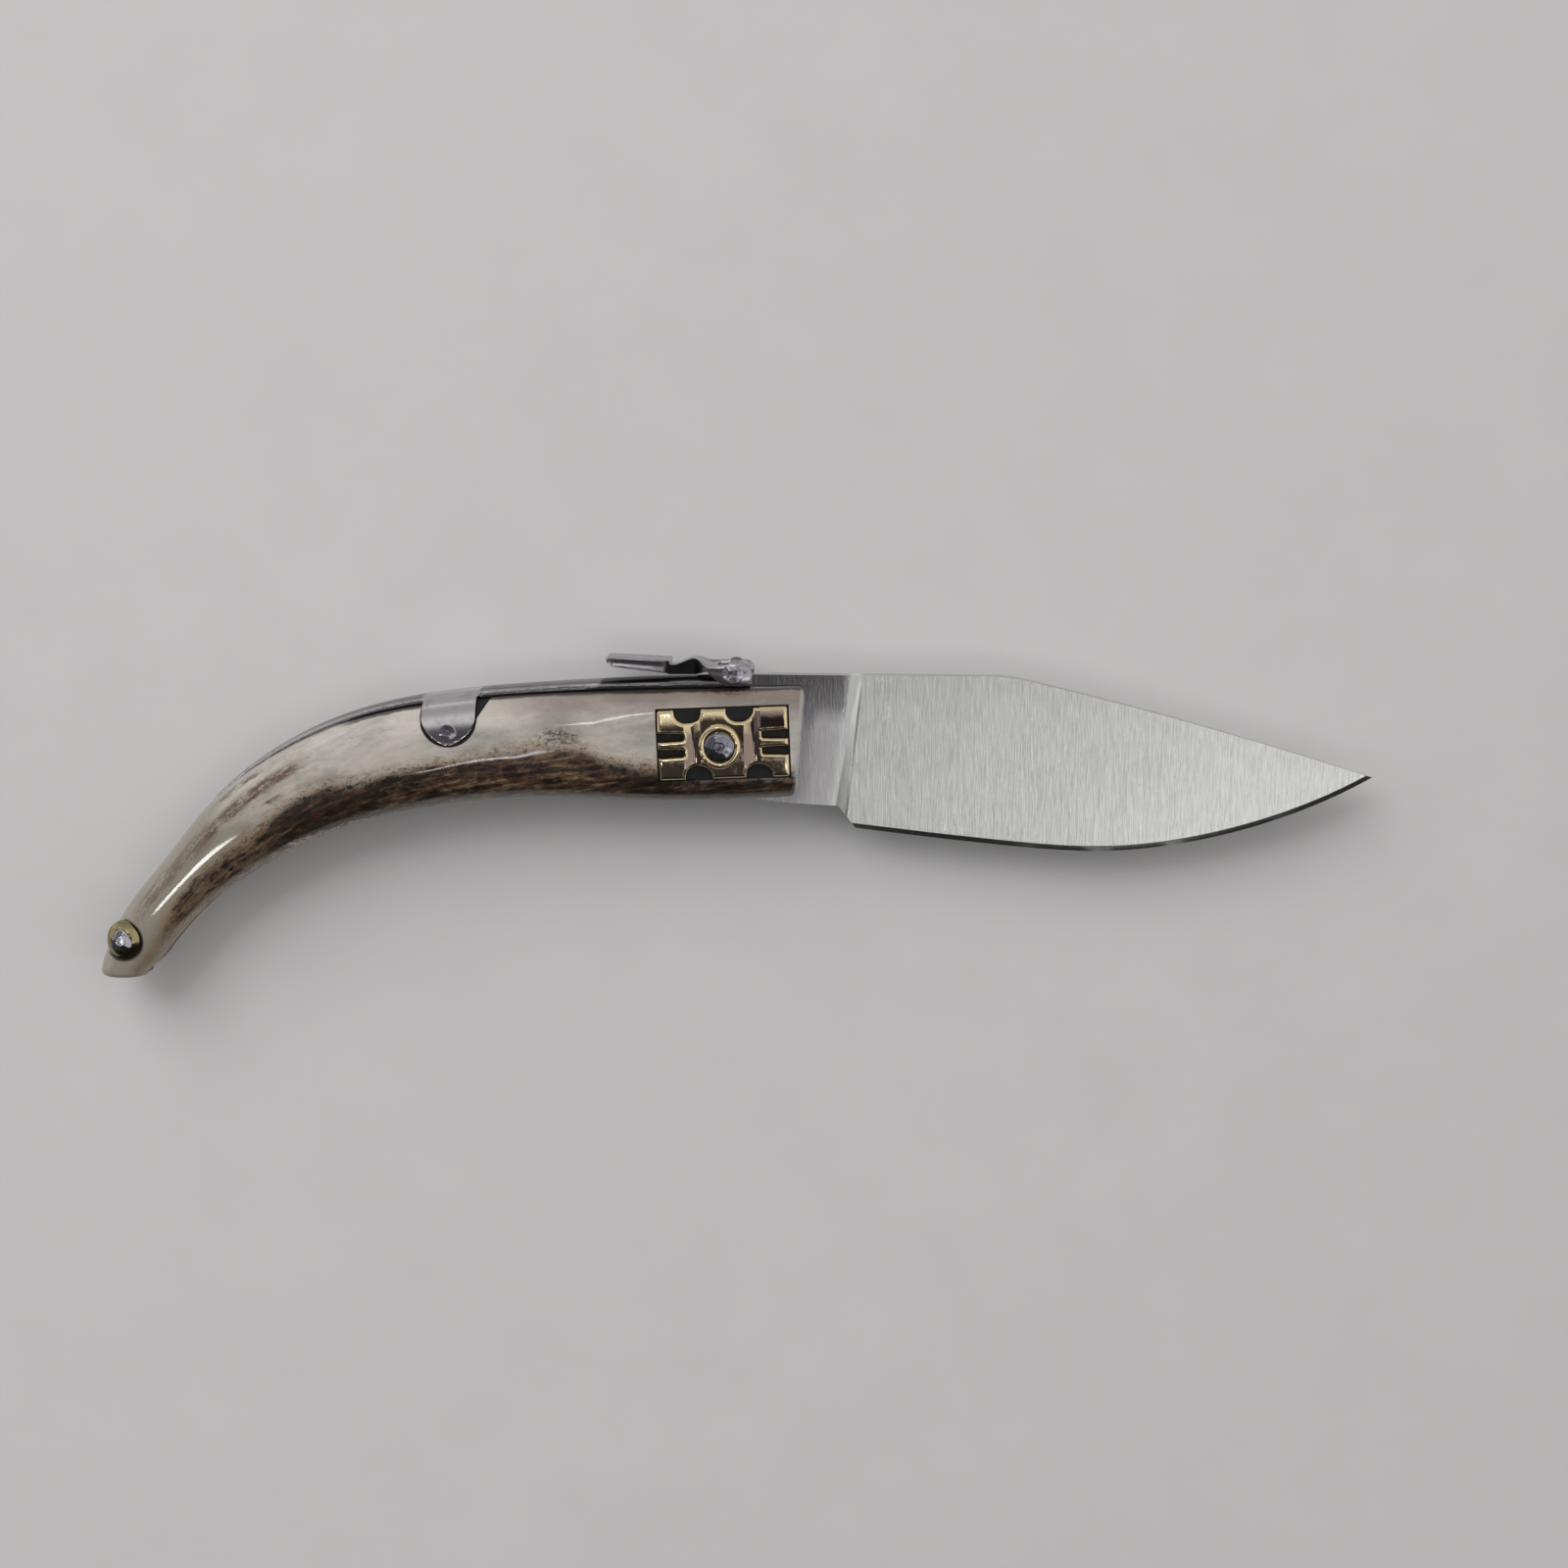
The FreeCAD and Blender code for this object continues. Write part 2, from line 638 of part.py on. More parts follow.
def plate_form():
    """The handle's form grown to the outer face of the plates."""
    return handle_form(PLATE_PROUD, PLATE_PROUD)


def ring_seat():
    """Height of the spot face that a ring sits on."""
    return side_height(plate_form(), 0, 0) - RING_SEAT_DEPTH


def make_plate():
    """Right bolster plate: pierced, fluted and spot-faced for its ring."""
    form = plate_form()
    plate = plate_blank(0, PLATE_BACK, OVERRUN)
    plate = plate.makeFillet(PLATE_CORNER_RADIUS, upright_edges(plate)).common(form)
    plate = plate.cut(plate_cutouts() + plate_flutes(side_height(form, 0, 0)))
    spot_face = rod(0, 0, RING_OUTER_RADIUS + FIXED_CLEARANCE, ring_seat(), OVERRUN)
    bore = rod(0, 0, PIVOT_PIN_RADIUS + FIXED_CLEARANCE, -OVERRUN, OVERRUN)
    return plate.cut([spot_face, bore])


def make_plate_bedding():
    """Right bedding: a black sheet under the plate that shows in its notches and slots."""
    bedding = plate_blank(PLATE_MARGIN - FIXED_CLEARANCE, PLATE_BACK - BEDDING_THICKNESS, PLATE_BACK)
    return bedding.cut(rod(0, 0, PIVOT_PIN_RADIUS + FIXED_CLEARANCE, -OVERRUN, OVERRUN))


def make_ear_bedding():
    """Right filler between an ear and its recess."""
    room = ear_recess(EAR_MARGIN - FIXED_CLEARANCE)
    bedding = room.common(handle_form(-BEDDING_SUNK, -BEDDING_SUNK)).cut(saddle_floor())
    inside = prism(rectangle(-HANDLE_REACH, NOSE_LENGTH, -HANDLE_DROP, HANDLE_HEIGHT),
                   SPRING_WIDTH / 2 + CHEEK_CLEARANCE, OVERRUN)
    return bedding.common(inside).cut(through(ear_wire(FIXED_CLEARANCE)))


def washer_seat():
    """Height of the flat that a butt washer sits on."""
    place = butt_pin_place()
    return side_height(handle_form(), place.x, place.y) - WASHER_SINK


def make_handle():
    """Antler handle with its slot, seats, recesses and rivet holes."""
    nose, butt = stations()[0], stations()[-1]
    ends = [rounded_end(nose, outward(nose), NOSE_EDGE_RADIUS),
            rounded_end(butt, -outward(butt), BUTT_EDGE_RADIUS)]
    handle = handle_form().fuse(ends).cut([slot_cutter(), spring_seat_cutter()])
    handle = handle.cut(ear_recess().cut(saddle_floor(EAR_SEAT_CLEARANCE)))
    recess = plate_blank(PLATE_MARGIN, PLATE_BACK - BEDDING_THICKNESS, OVERRUN)
    handle = handle.cut([recess, other_side(recess)])
    rivet_place = butt_pin_place()
    pin = spring_pin_place()
    flat = rod(rivet_place.x, rivet_place.y, WASHER_RADIUS + FIXED_CLEARANCE, washer_seat(), OVERRUN)
    holes = [flat, other_side(flat)]
    pins = ((MID_PLANE, PIVOT_PIN_RADIUS), (rivet_place, BUTT_PIN_RADIUS), (pin, SPRING_PIN_RADIUS))
    for place, radius in pins:
        holes.append(rod(place.x, place.y, radius + FIXED_CLEARANCE, -OVERRUN, OVERRUN))
    return handle.cut(holes)


def lathe(profile):
    """A piece turned about the Z axis from its radii and heights."""
    outline = polygon([side(radius, 0, height) for radius, height in profile])
    return Part.Face(outline).revolve(MID_PLANE, UP, 360)


def turned_head(radius, low, high):
    """A rivet head about the Z axis, with a flat top and a bevelled shoulder."""
    flat = radius * HEAD_FLAT_SHARE
    shoulder = low + (high - low) * HEAD_FLAT_SHARE
    return lathe(((0, low), (radius, low), (radius, shoulder), (flat, high), (0, high)))


def rivet(place, shank_radius, head_radius, head_low, head_high):
    """A rivet through the knife with a head on each side."""
    shank = rod(0, 0, shank_radius, -head_low, head_low)
    head = turned_head(head_radius, head_low, head_high)
    whole = shank.fuse([head, other_side(head)]).removeSplitter()
    whole.translate(place)
    return whole


def pivot_head_top():
    """Height of the flat of the pivot rivet above the mid-plane."""
    return ring_seat() + RING_HEIGHT + PIVOT_HEAD_PROUD


def make_pivot_pin():
    """Pivot rivet, peened inside the rings."""
    return rivet(MID_PLANE, PIVOT_PIN_RADIUS, PIVOT_PIN_RADIUS, ring_seat(), pivot_head_top())


def make_spring_pin():
    """Rivet through the ears of the spring, peened nearly flush."""
    place = spring_pin_place()
    face = side_height(handle_form(saddle_rise(), EAR_PROUD), place.x, place.y)
    return rivet(place, SPRING_PIN_RADIUS, SPRING_PIN_RADIUS, face - EAR_PROUD, face + SPRING_PIN_PROUD)


def make_butt_pin():
    """Rivet through the butt and its washers."""
    low = washer_seat() + WASHER_HEIGHT
    return rivet(butt_pin_place(), BUTT_PIN_RADIUS, BUTT_HEAD_RADIUS, low, low + BUTT_HEAD_PROUD)


def make_pivot_ring():
    """Right ring round the head of the pivot rivet, with a bevelled crown."""
    low = ring_seat()
    wall = low + RING_HEIGHT / 2
    high = low + RING_HEIGHT
    bevel = (RING_OUTER_RADIUS - RING_INNER_RADIUS) / 2
    outer = ((RING_OUTER_RADIUS, low), (RING_OUTER_RADIUS, wall), (RING_OUTER_RADIUS - bevel, high))
    return lathe(outer + ((RING_INNER_RADIUS, high), (RING_INNER_RADIUS, low)))


def make_butt_washer():
    """Right domed washer under the head of the butt rivet."""
    seat = washer_seat()
    hole = BUTT_PIN_RADIUS + FIXED_CLEARANCE
    rim = seat + WASHER_RIM
    top = seat + WASHER_HEIGHT
    dome = ((WASHER_RADIUS, rim), (BUTT_HEAD_RADIUS, top))
    washer = lathe(((hole, seat), (WASHER_RADIUS, seat)) + dome + ((hole, top),))
    washer.translate(butt_pin_place())
    return washer


def cheek_inner():
    """Inner face of a lever cheek, clear of the spring."""
    return SPRING_WIDTH / 2 + CHEEK_CLEARANCE


def cheek_outer():
    """Outer face of a lever cheek."""
    return cheek_inner() + CHEEK_THICKNESS


def neck_start():
    """Where the pad ends and the neck starts."""
    return -PAD_END_X + PAD_LENGTH


def bridge_end():
    """Where the bridge between the cheeks ends, clear of the eye."""
    return -BAR_SETBACK - CHEEK_CLEARANCE


def flare_end():
    """Where the flare has reached the full width of the yoke."""
    return bridge_end() - CHEEK_CROWN


def cheek_wire():
    """A lever cheek seen from the side: round the pin, with the toe that bears on the handle."""
    pin = lever_pin_place()
    crown = side(pin.x, above_back(NECK_TOP_RISE))
    front = pin + Vector(CHEEK_FRONT, 0, 0)
    shoulder = pin + turned(Vector((CHEEK_FRONT + CHEEK_CROWN) / 2, 0, 0), TOE_DEGREES)
    toe = pin + turned(Vector(TOE_RADIUS, 0, 0), -TOE_DEGREES)
    sole = pin - Vector(CHEEK_CROWN / 3, CHEEK_SOLE, 0)
    root = side(flare_end() - FLARE_LENGTH / 2, above_back(NECK_TOP_RISE))
    hollow = (sole + root) / 2 + Vector(CHEEK_CROWN, -CHEEK_CROWN, 0) / 9
    edges = [line(root, crown), arc(crown, shoulder, front), line(front, toe), line(toe, sole)]
    edges.append(arc(sole, hollow, root))
    return Part.Wire(edges)


def lever_wire():
    """The lever's pad, swan neck and bridge seen from the side."""
    start = neck_start()
    pad_top = above_back(PAD_TOP_RISE)
    neck_top = above_back(NECK_TOP_RISE)
    low = neck_top - PAD_ROOT_THICKNESS
    tip_low = pad_top - PAD_TIP_THICKNESS
    bridge_low = neck_top - YOKE_THICKNESS
    dip_y = neck_top - NECK_STEP
    dip = side(start + NECK_DIP_LENGTH, dip_y)
    crest = side(dip.x + NECK_RISE_LENGTH, neck_top)
    middle = (dip + crest) / 2
    bend = Vector(NECK_RISE_LENGTH, -NECK_STEP, 0) / 8
    points = (side(start, dip_y), side(start, neck_top), side(-PAD_END_X, pad_top),
              side(-PAD_END_X, tip_low), side(-PAD_END_X + PAD_CHAMFER_LENGTH, tip_low - PAD_CHAMFER_DEPTH),
              side(start, low), side(flare_end() - FLARE_LENGTH, low), side(flare_end(), bridge_low),
              side(bridge_end(), bridge_low), side(bridge_end(), neck_top), crest)
    edges = [line(first, last) for first, last in zip(points, points[1:])]
    edges += [arc(crest, (crest + middle) / 2 - bend, middle), arc(middle, (middle + dip) / 2 + bend, dip)]
    edges.append(line(dip, side(start, dip_y)))
    return Part.Wire(edges)


def lever_plan():
    """The lever seen from the back: pad, narrow neck, and a flare to the yoke."""
    start = neck_start()
    flare = flare_end() - FLARE_LENGTH
    half = ((-PAD_END_X - PAD_LENGTH, PAD_WIDTH / 2), (start, PAD_WIDTH / 2), (start, NECK_WIDTH / 2),
            (flare, NECK_WIDTH / 2), (flare_end(), cheek_outer()), (NOSE_LENGTH, cheek_outer()))
    mirror_half = [(x, -width) for x, width in reversed(half)]
    wire = polygon([Vector(x, 0, width) for x, width in list(half) + mirror_half])
    return Part.Face(wire).extrude(Vector(0, above_back(OVERRUN), 0))


def make_lever():
    """Release lever: pad, narrow neck, and a yoke whose cheeks hang beside the spring."""
    lever = prism(lever_wire(), -cheek_outer(), cheek_outer()).common(lever_plan())
    cheek = prism(cheek_wire(), cheek_inner(), cheek_outer())
    lever = lever.fuse([cheek, other_side(cheek)]).removeSplitter()
    pin = lever_pin_place()
    eye_room = rod(pin.x, pin.y, EYE_RADIUS + CHEEK_CLEARANCE, -cheek_inner(), cheek_inner())
    bore = rod(pin.x, pin.y, LEVER_PIN_RADIUS + FIXED_CLEARANCE, -OVERRUN, OVERRUN)
    return lever.cut([eye_room, bore])


def make_lever_pin():
    """Rivet through the cheeks of the lever, turning in the eye of the spring."""
    place = lever_pin_place()
    return rivet(place, LEVER_PIN_RADIUS, LEVER_HEAD_RADIUS, cheek_outer(), cheek_outer() + LEVER_HEAD_HEIGHT)


def make_parts():
    """Every piece of the knife by name."""
    parts = {
        "handle": make_handle(),
        "blade": make_blade(),
        "back_spring": make_spring(),
        "lever": make_lever(),
        "lever_pin": make_lever_pin(),
        "spring_pin": make_spring_pin(),
        "pivot_pin": make_pivot_pin(),
        "butt_pin": make_butt_pin(),
    }
    pairs = {
        "bolster_plate": make_plate(),
        "plate_bedding": make_plate_bedding(),
        "ear_bedding": make_ear_bedding(),
        "pivot_ring": make_pivot_ring(),
        "butt_washer": make_butt_washer(),
    }
    for name, solid in pairs.items():
        parts["right_" + name] = solid
        parts["left_" + name] = other_side(solid)
    return parts


def main():
    """Set every piece on the rest face and write it out."""
    os.makedirs("parts", exist_ok=True)
    rest_height = pivot_head_top()
    for name, solid in make_parts().items():
        solid.translate(UP * rest_height)
        solid.exportStep(f"parts/{name}.step")
        print(name, len(solid.Solids), solid.isValid(), round(solid.Volume, 2))


main()
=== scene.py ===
import json
import logging
import math
from dataclasses import dataclass
from enum import Enum
from typing import Any, Callable, Optional, Sequence, Union

import bmesh
import bpy
import numpy as np
from mathutils import Matrix, Quaternion, Vector, noise
from mathutils.geometry import delaunay_2d_cdt

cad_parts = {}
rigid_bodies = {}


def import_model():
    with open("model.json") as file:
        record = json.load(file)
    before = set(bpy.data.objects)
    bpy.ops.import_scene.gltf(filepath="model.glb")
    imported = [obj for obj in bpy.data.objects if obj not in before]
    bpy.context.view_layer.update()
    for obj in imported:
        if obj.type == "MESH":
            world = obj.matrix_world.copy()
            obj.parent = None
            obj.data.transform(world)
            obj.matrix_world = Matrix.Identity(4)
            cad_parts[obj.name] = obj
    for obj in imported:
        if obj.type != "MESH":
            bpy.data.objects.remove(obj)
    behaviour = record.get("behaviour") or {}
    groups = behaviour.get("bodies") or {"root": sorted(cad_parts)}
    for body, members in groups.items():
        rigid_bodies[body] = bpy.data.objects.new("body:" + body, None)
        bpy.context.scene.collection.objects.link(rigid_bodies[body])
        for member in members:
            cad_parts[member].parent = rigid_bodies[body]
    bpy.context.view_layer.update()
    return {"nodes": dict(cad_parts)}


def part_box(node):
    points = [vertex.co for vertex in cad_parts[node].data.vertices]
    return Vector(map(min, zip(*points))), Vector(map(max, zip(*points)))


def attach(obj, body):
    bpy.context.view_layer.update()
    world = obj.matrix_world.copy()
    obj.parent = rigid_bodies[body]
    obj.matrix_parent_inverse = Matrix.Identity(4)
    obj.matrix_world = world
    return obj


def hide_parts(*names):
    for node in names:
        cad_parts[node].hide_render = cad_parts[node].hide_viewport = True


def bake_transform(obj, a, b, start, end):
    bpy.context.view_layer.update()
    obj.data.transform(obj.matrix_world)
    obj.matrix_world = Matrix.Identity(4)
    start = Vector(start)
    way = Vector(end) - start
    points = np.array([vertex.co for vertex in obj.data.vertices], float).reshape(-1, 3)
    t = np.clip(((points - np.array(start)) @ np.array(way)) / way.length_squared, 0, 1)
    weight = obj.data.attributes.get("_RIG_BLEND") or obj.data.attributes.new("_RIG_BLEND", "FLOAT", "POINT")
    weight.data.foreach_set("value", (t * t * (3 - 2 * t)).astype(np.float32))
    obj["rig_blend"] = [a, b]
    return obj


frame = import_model()

# The scene of a lever-lock folding knife. Shapes are drawn in millimetres about the blade's
# mid-plane, with the pivot axis at X = Y = 0, and make_mesh turns them into the frame's metres.

LOG = logging.getLogger("knife")
MM = 0.001
PER_METRE = 1000.0
SIDES = (("right", 1.0), ("left", -1.0))
CUT_REACH = 12.0  # how far cutters reach out past both sides
TAPER_FROM = -48.0  # where the spring starts to narrow
WELD = 2e-6  # points closer than this are one, in metres
SLIVER = 1e-7  # edges shorter than this are dropped
SHARP = 40.0  # degrees from which an edge stays sharp
CUT_SHARP = 35.0  # the same on pieces that were cut
MID = sum(corner[2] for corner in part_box("pivot_pin")) / 2  # the blade's mid-plane, in metres
Point = tuple[float, float]
Corner = tuple[float, float, float]
Colour = tuple[float, float, float, float]
Values = Optional[dict[Any, Any]]
Thing = bpy.types.Object
Finish = bpy.types.Material


class Body(Enum):
    """The rigid bodies that pieces ride on."""

    HANDLE = "handle"
    SPRING = "spring"
    LEVER = "lever"


class Slot(Enum):
    """The record's material slots, one named with each new piece."""

    ANTLER = "antler"
    POLISHED = "polished_steel"
    RIVET = "rivet_steel"
    BRASS = "brass"
    BEDDING = "bedding"


def turned(points: Any, degrees: float) -> np.ndarray:
    """Points of a plane turned counter-clockwise about its origin."""
    cos, sin = math.cos(math.radians(degrees)), math.sin(math.radians(degrees))
    return np.asarray(points, float) @ np.array([[cos, sin], [-sin, cos]])


def tapered(x: float, tail: float, wide: float, narrow: float) -> float:
    """Half the spring's width at x: even as far as the ears, narrower from there to the tail."""
    run = np.clip((x - TAPER_FROM) / (tail - TAPER_FROM), 0, 1)
    return wide / 2 + (narrow - wide) / 2 * run


def rounded_square(turn: np.ndarray, square: float) -> tuple[np.ndarray, np.ndarray]:
    """Heights and places across of a circle's points, pushed out to a rounded square."""
    rise = np.sign(np.cos(turn)) * np.abs(np.cos(turn)) ** (2 / square)
    return rise, np.sign(np.sin(turn)) * np.abs(np.sin(turn)) ** (2 / square)


class SmoothLine:
    """A natural cubic curve through rows of values at increasing places."""

    def __init__(self, places: Sequence[float], values: Sequence[Any]) -> None:
        """Solve for the curve.

        Args:
            places: Increasing places of the rows.
            values: One row of values for each place.
        """
        self.places = np.asarray(places, float)
        self.values = np.asarray(values, float).reshape(len(self.places), -1)
        step = np.diff(self.places)
        matrix = np.eye(len(self.places))
        right = np.zeros_like(self.values)
        for row in range(1, len(self.places) - 1):
            before, after = step[row - 1], step[row]
            matrix[row, row - 1:row + 2] = before, 2 * (before + after), after
            rise = np.diff(self.values[row - 1:row + 2], axis=0)
            right[row] = 6 * (rise[1] / after - rise[0] / before)
        self.bend = np.linalg.solve(matrix, right)

    @classmethod
    def through(cls, points: Sequence[Any]) -> "SmoothLine":
        """A curve through points, placed by the length of the chords between them."""
        chords = np.linalg.norm(np.diff(np.asarray(points, float), axis=0), axis=1)
        return cls(np.concatenate([[0.0], np.cumsum(chords)]), points)

    def at(self, places: Any) -> np.ndarray:
        """Read the curve.

        Args:
            places: Where to read it.

        Returns:
            One row of values for each place.
        """
        place = np.atleast_1d(np.asarray(places, float))
        last = len(self.places) - 2
        index = np.clip(np.searchsorted(self.places, place) - 1, 0, last)
        step = (self.places[index + 1] - self.places[index])[:, None]
        after = (self.places[index + 1] - place)[:, None] / step
        before = 1 - after
        line = after * self.values[index] + before * self.values[index + 1]
        swing = (after ** 3 - after) * self.bend[index]
        swing = swing + (before ** 3 - before) * self.bend[index + 1]
        return line + swing * step ** 2 / 6


def add_object(name: str, data: Any) -> Thing:
    """Put a new object into the scene.

    Args:
        name: The object's name.
        data: Its mesh, lamp or camera.

    Returns:
        The object.
    """
    made = bpy.data.objects.new(name, data)
    bpy.context.scene.collection.objects.link(made)
    return made


def make_mesh(name: str, points: Any, faces: Sequence[Any], sharp: float = SHARP) -> Thing:
    """Make a smooth-shaded object in the frame's metres.

    Args:
        name: The object's name.
        points: Rows of x, y and z in millimetres about the mid-plane.
        faces: Vertex numbers of each face.
        sharp: Angle in degrees above which an edge stays sharp.

    Returns:
        The object.
    """
    placed = np.asarray(points, float) * MM + np.array([0.0, 0.0, MID])
    data = bpy.data.meshes.new(name)
    data.from_pydata(placed.tolist(), [], [list(face) for face in faces])
    made = add_object(name, data)
    settle(made, sharp)
    return made


def settle(made: Thing, sharp: float) -> None:
    """Weld a mesh, turn its faces outwards and shade it smooth up to an angle.

    Args:
        made: The object.
        sharp: The angle in degrees.
    """
    work = bmesh.new()
    work.from_mesh(made.data)
    bmesh.ops.remove_doubles(work, verts=work.verts, dist=WELD)
    bmesh.ops.dissolve_degenerate(work, edges=work.edges, dist=SLIVER)
    bmesh.ops.recalc_face_normals(work, faces=work.faces)
    work.to_mesh(made.data)
    work.free()
    made.data.shade_smooth()
    made.data.set_sharp_from_angle(angle=math.radians(sharp))


def grid_faces(rows: int, columns: int, closed: bool) -> list[tuple[int, ...]]:
    """List the faces of a grid of points.

    Args:
        rows: Number of rows of points.
        columns: Number of points in each row.
        closed: Whether each row is a ring.

    Returns:
        Quads, with the two end rings filled where the rows are rings.
    """
    faces: list[tuple[int, ...]] = []
    for row in range(rows - 1):
        low, high = row * columns, (row + 1) * columns
        for column in range(columns if closed else columns - 1):
            after = (column + 1) % columns
            faces.append((low + column, low + after, high + after, high + column))
    if closed:
        faces.append(tuple(range(columns)))
        faces.append(tuple(range((rows - 1) * columns, rows * columns))[::-1])
    return faces


def sweep(name: str, rings: Any, sharp: float = SHARP) -> Thing:
    """A closed tube through rings of points with the same count each."""
    stack = np.asarray(rings, float)
    return make_mesh(name, stack.reshape(-1, 3), grid_faces(*stack.shape[:2], True), sharp)


def prism(name: str, outline: Sequence[Any], low: float, high: float) -> Thing:
    """Make an outline solid.

    Args:
        name: The object's name.
        outline: Points seen from the side.
        low: Where it starts across the knife.
        high: Where it ends.

    Returns:
        The object.
    """
    count = len(outline)
    points = [(x, y, z) for z in (low, high) for x, y in outline]
    faces: list[Any] = [tuple(range(count))[::-1], tuple(range(count, 2 * count))]
    for index in range(count):
        after = (index + 1) % count
        faces.append((index, after, count + after, count + index))
    return make_mesh(name, points, faces)


def lathe(name: str, profile: Sequence[Point], place: Point = (0.0, 0.0), steps: int = 72,
          squeeze: Point = (1.0, 1.0)) -> Thing:
    """Make a piece turned about an axis across the knife.

    Args:
        name: The object's name.
        profile: Radii and heights, from the inside of the foot round to the top.
        place: Where its axis stands.
        steps: Points round the axis.
        squeeze: Shares by which it is stretched along X and Y.

    Returns:
        The object.
    """
    turn = np.linspace(0, 2 * math.pi, steps, endpoint=False)
    rings = [np.stack([place[0] + radius * squeeze[0] * np.cos(turn),
                       place[1] + radius * squeeze[1] * np.sin(turn),
                       np.full(steps, height)], axis=1) for radius, height in profile]
    return sweep(name, rings)


def carve(target: Thing, cutters: Sequence[Thing]) -> None:
    """Cut pieces away from a target and remove the cutters.

    Args:
        target: The piece that is cut.
        cutters: The pieces that cut it.
    """
    for cutter in cutters:
        cut = target.modifiers.new("cut", "BOOLEAN")
        cut.operation = "DIFFERENCE"
        cut.solver = "EXACT"
        cut.object = cutter
    graph = bpy.context.evaluated_depsgraph_get()
    data = bpy.data.meshes.new_from_object(target.evaluated_get(graph))
    target.modifiers.clear()
    target.data = data
    for cutter in cutters:
        bpy.data.objects.remove(cutter)
    settle(target, CUT_SHARP)


def soften(target: Thing, width: float, steps: int, angle: float) -> None:
    """Round the sharp edges of a piece by a modifier.

    Args:
        target: The piece.
        width: Width of the rounding in millimetres.
        steps: Segments across the rounding.
        angle: Edges sharper than this many degrees are rounded.
    """
    weld = target.modifiers.new("weld", "WELD")
    weld.merge_threshold = WELD
    bevel = target.modifiers.new("soften", "BEVEL")
    bevel.width = width * MM
    bevel.segments = steps
    bevel.limit_method = "ANGLE"
    bevel.angle_limit = math.radians(angle)
    bevel.harden_normals = True


def join(name: str, parts: Sequence[Thing]) -> Thing:
    """Make several meshes one object, each with its modifiers applied.

    Args:
        name: The object's name.
        parts: The pieces, which are used up.

    Returns:
        The object.
    """
    graph = bpy.context.evaluated_depsgraph_get()
    whole = bmesh.new()
    for part in parts:
        data = bpy.data.meshes.new_from_object(part.evaluated_get(graph))
        whole.from_mesh(data)
        bpy.data.meshes.remove(data)
        bpy.data.objects.remove(part)
    data = bpy.data.meshes.new(name)
    whole.to_mesh(data)
    whole.free()
    data.shade_smooth()
    data.set_sharp_from_angle(angle=math.radians(SHARP))
    return add_object(name, data)


def points_of(made: Thing) -> np.ndarray:
    """A piece's points in millimetres about the mid-plane."""
    return (np.array([point.co for point in made.data.vertices]) - (0.0, 0.0, MID)) / MM


def store(made: Thing, name: str, columns: Sequence[np.ndarray]) -> None:
    """Store three columns as a vector on a piece's points, which its finish reads."""
    layer = made.data.attributes.new(name, "FLOAT_VECTOR", "POINT")
    layer.data.foreach_set("vector", np.column_stack(columns).ravel())


def dress(made: Thing, body: Body, slot: Slot, finish: Finish, *nodes: str) -> None:
    """Give a piece its finish, its body and the nodes that it stands for.

    Args:
        made: The piece.
        body: The body that it rides on.
        slot: The slot that its finish belongs to; not used.
        finish: The finish.
        nodes: The nodes that it replaces.
    """
    made.data.materials.clear()
    made.data.materials.append(finish)
    if nodes:
        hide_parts(*nodes)
    if made.parent is None and "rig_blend" not in made:
        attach(made, body.value)
    LOG.info("%s rides on %s", made.name, body.value)


def operation(name: str, swapped: bool = False) -> Callable[..., "Signal"]:
    """Make a method that joins a signal with another operand.

    Args:
        name: The operation of its Math node.
        swapped: Whether the other operand comes first.

    Returns:
        The method.
    """
    def method(self: "Signal", other: Any = 0.0) -> "Signal":
        """Add the Math node."""
        first, second = (other, self) if swapped else (self, other)
        return self.shader.signal("ShaderNodeMath", {"operation": name}, {0: first, 1: second})

    return method


class Signal:
    """A socket that takes part in Python expressions and adds Math nodes for them."""

    def __init__(self, shader: "Shader", socket: bpy.types.NodeSocket) -> None:
        """Wrap a socket of a shader's tree."""
        self.shader = shader
        self.socket = socket

    __add__ = __radd__ = operation("ADD")
    __mul__ = __rmul__ = operation("MULTIPLY")
    __sub__, __rsub__ = operation("SUBTRACT"), operation("SUBTRACT", True)
    __truediv__, __rtruediv__ = operation("DIVIDE"), operation("DIVIDE", True)
    __pow__, __rpow__ = operation("POWER"), operation("POWER", True)
    __abs__ = operation("ABSOLUTE")
    least, most = operation("MINIMUM"), operation("MAXIMUM")

    def step(self, low: float, high: float) -> "Signal":
        """Rise smoothly from 0 to 1, or fall where high is below low.

        Args:
            low: Where the result is 0.
            high: Where the result is 1.

        Returns:
            A signal from 0 to 1.
        """
        rising = low < high
        lower, upper, start, end = (low, high, 0.0, 1.0) if rising else (high, low, 1.0, 0.0)
        sockets = {0: self, 1: lower, 2: upper, 3: start, 4: end}
        settings = {"interpolation_type": "SMOOTHSTEP"}
        return self.shader.signal("ShaderNodeMapRange", settings, sockets)


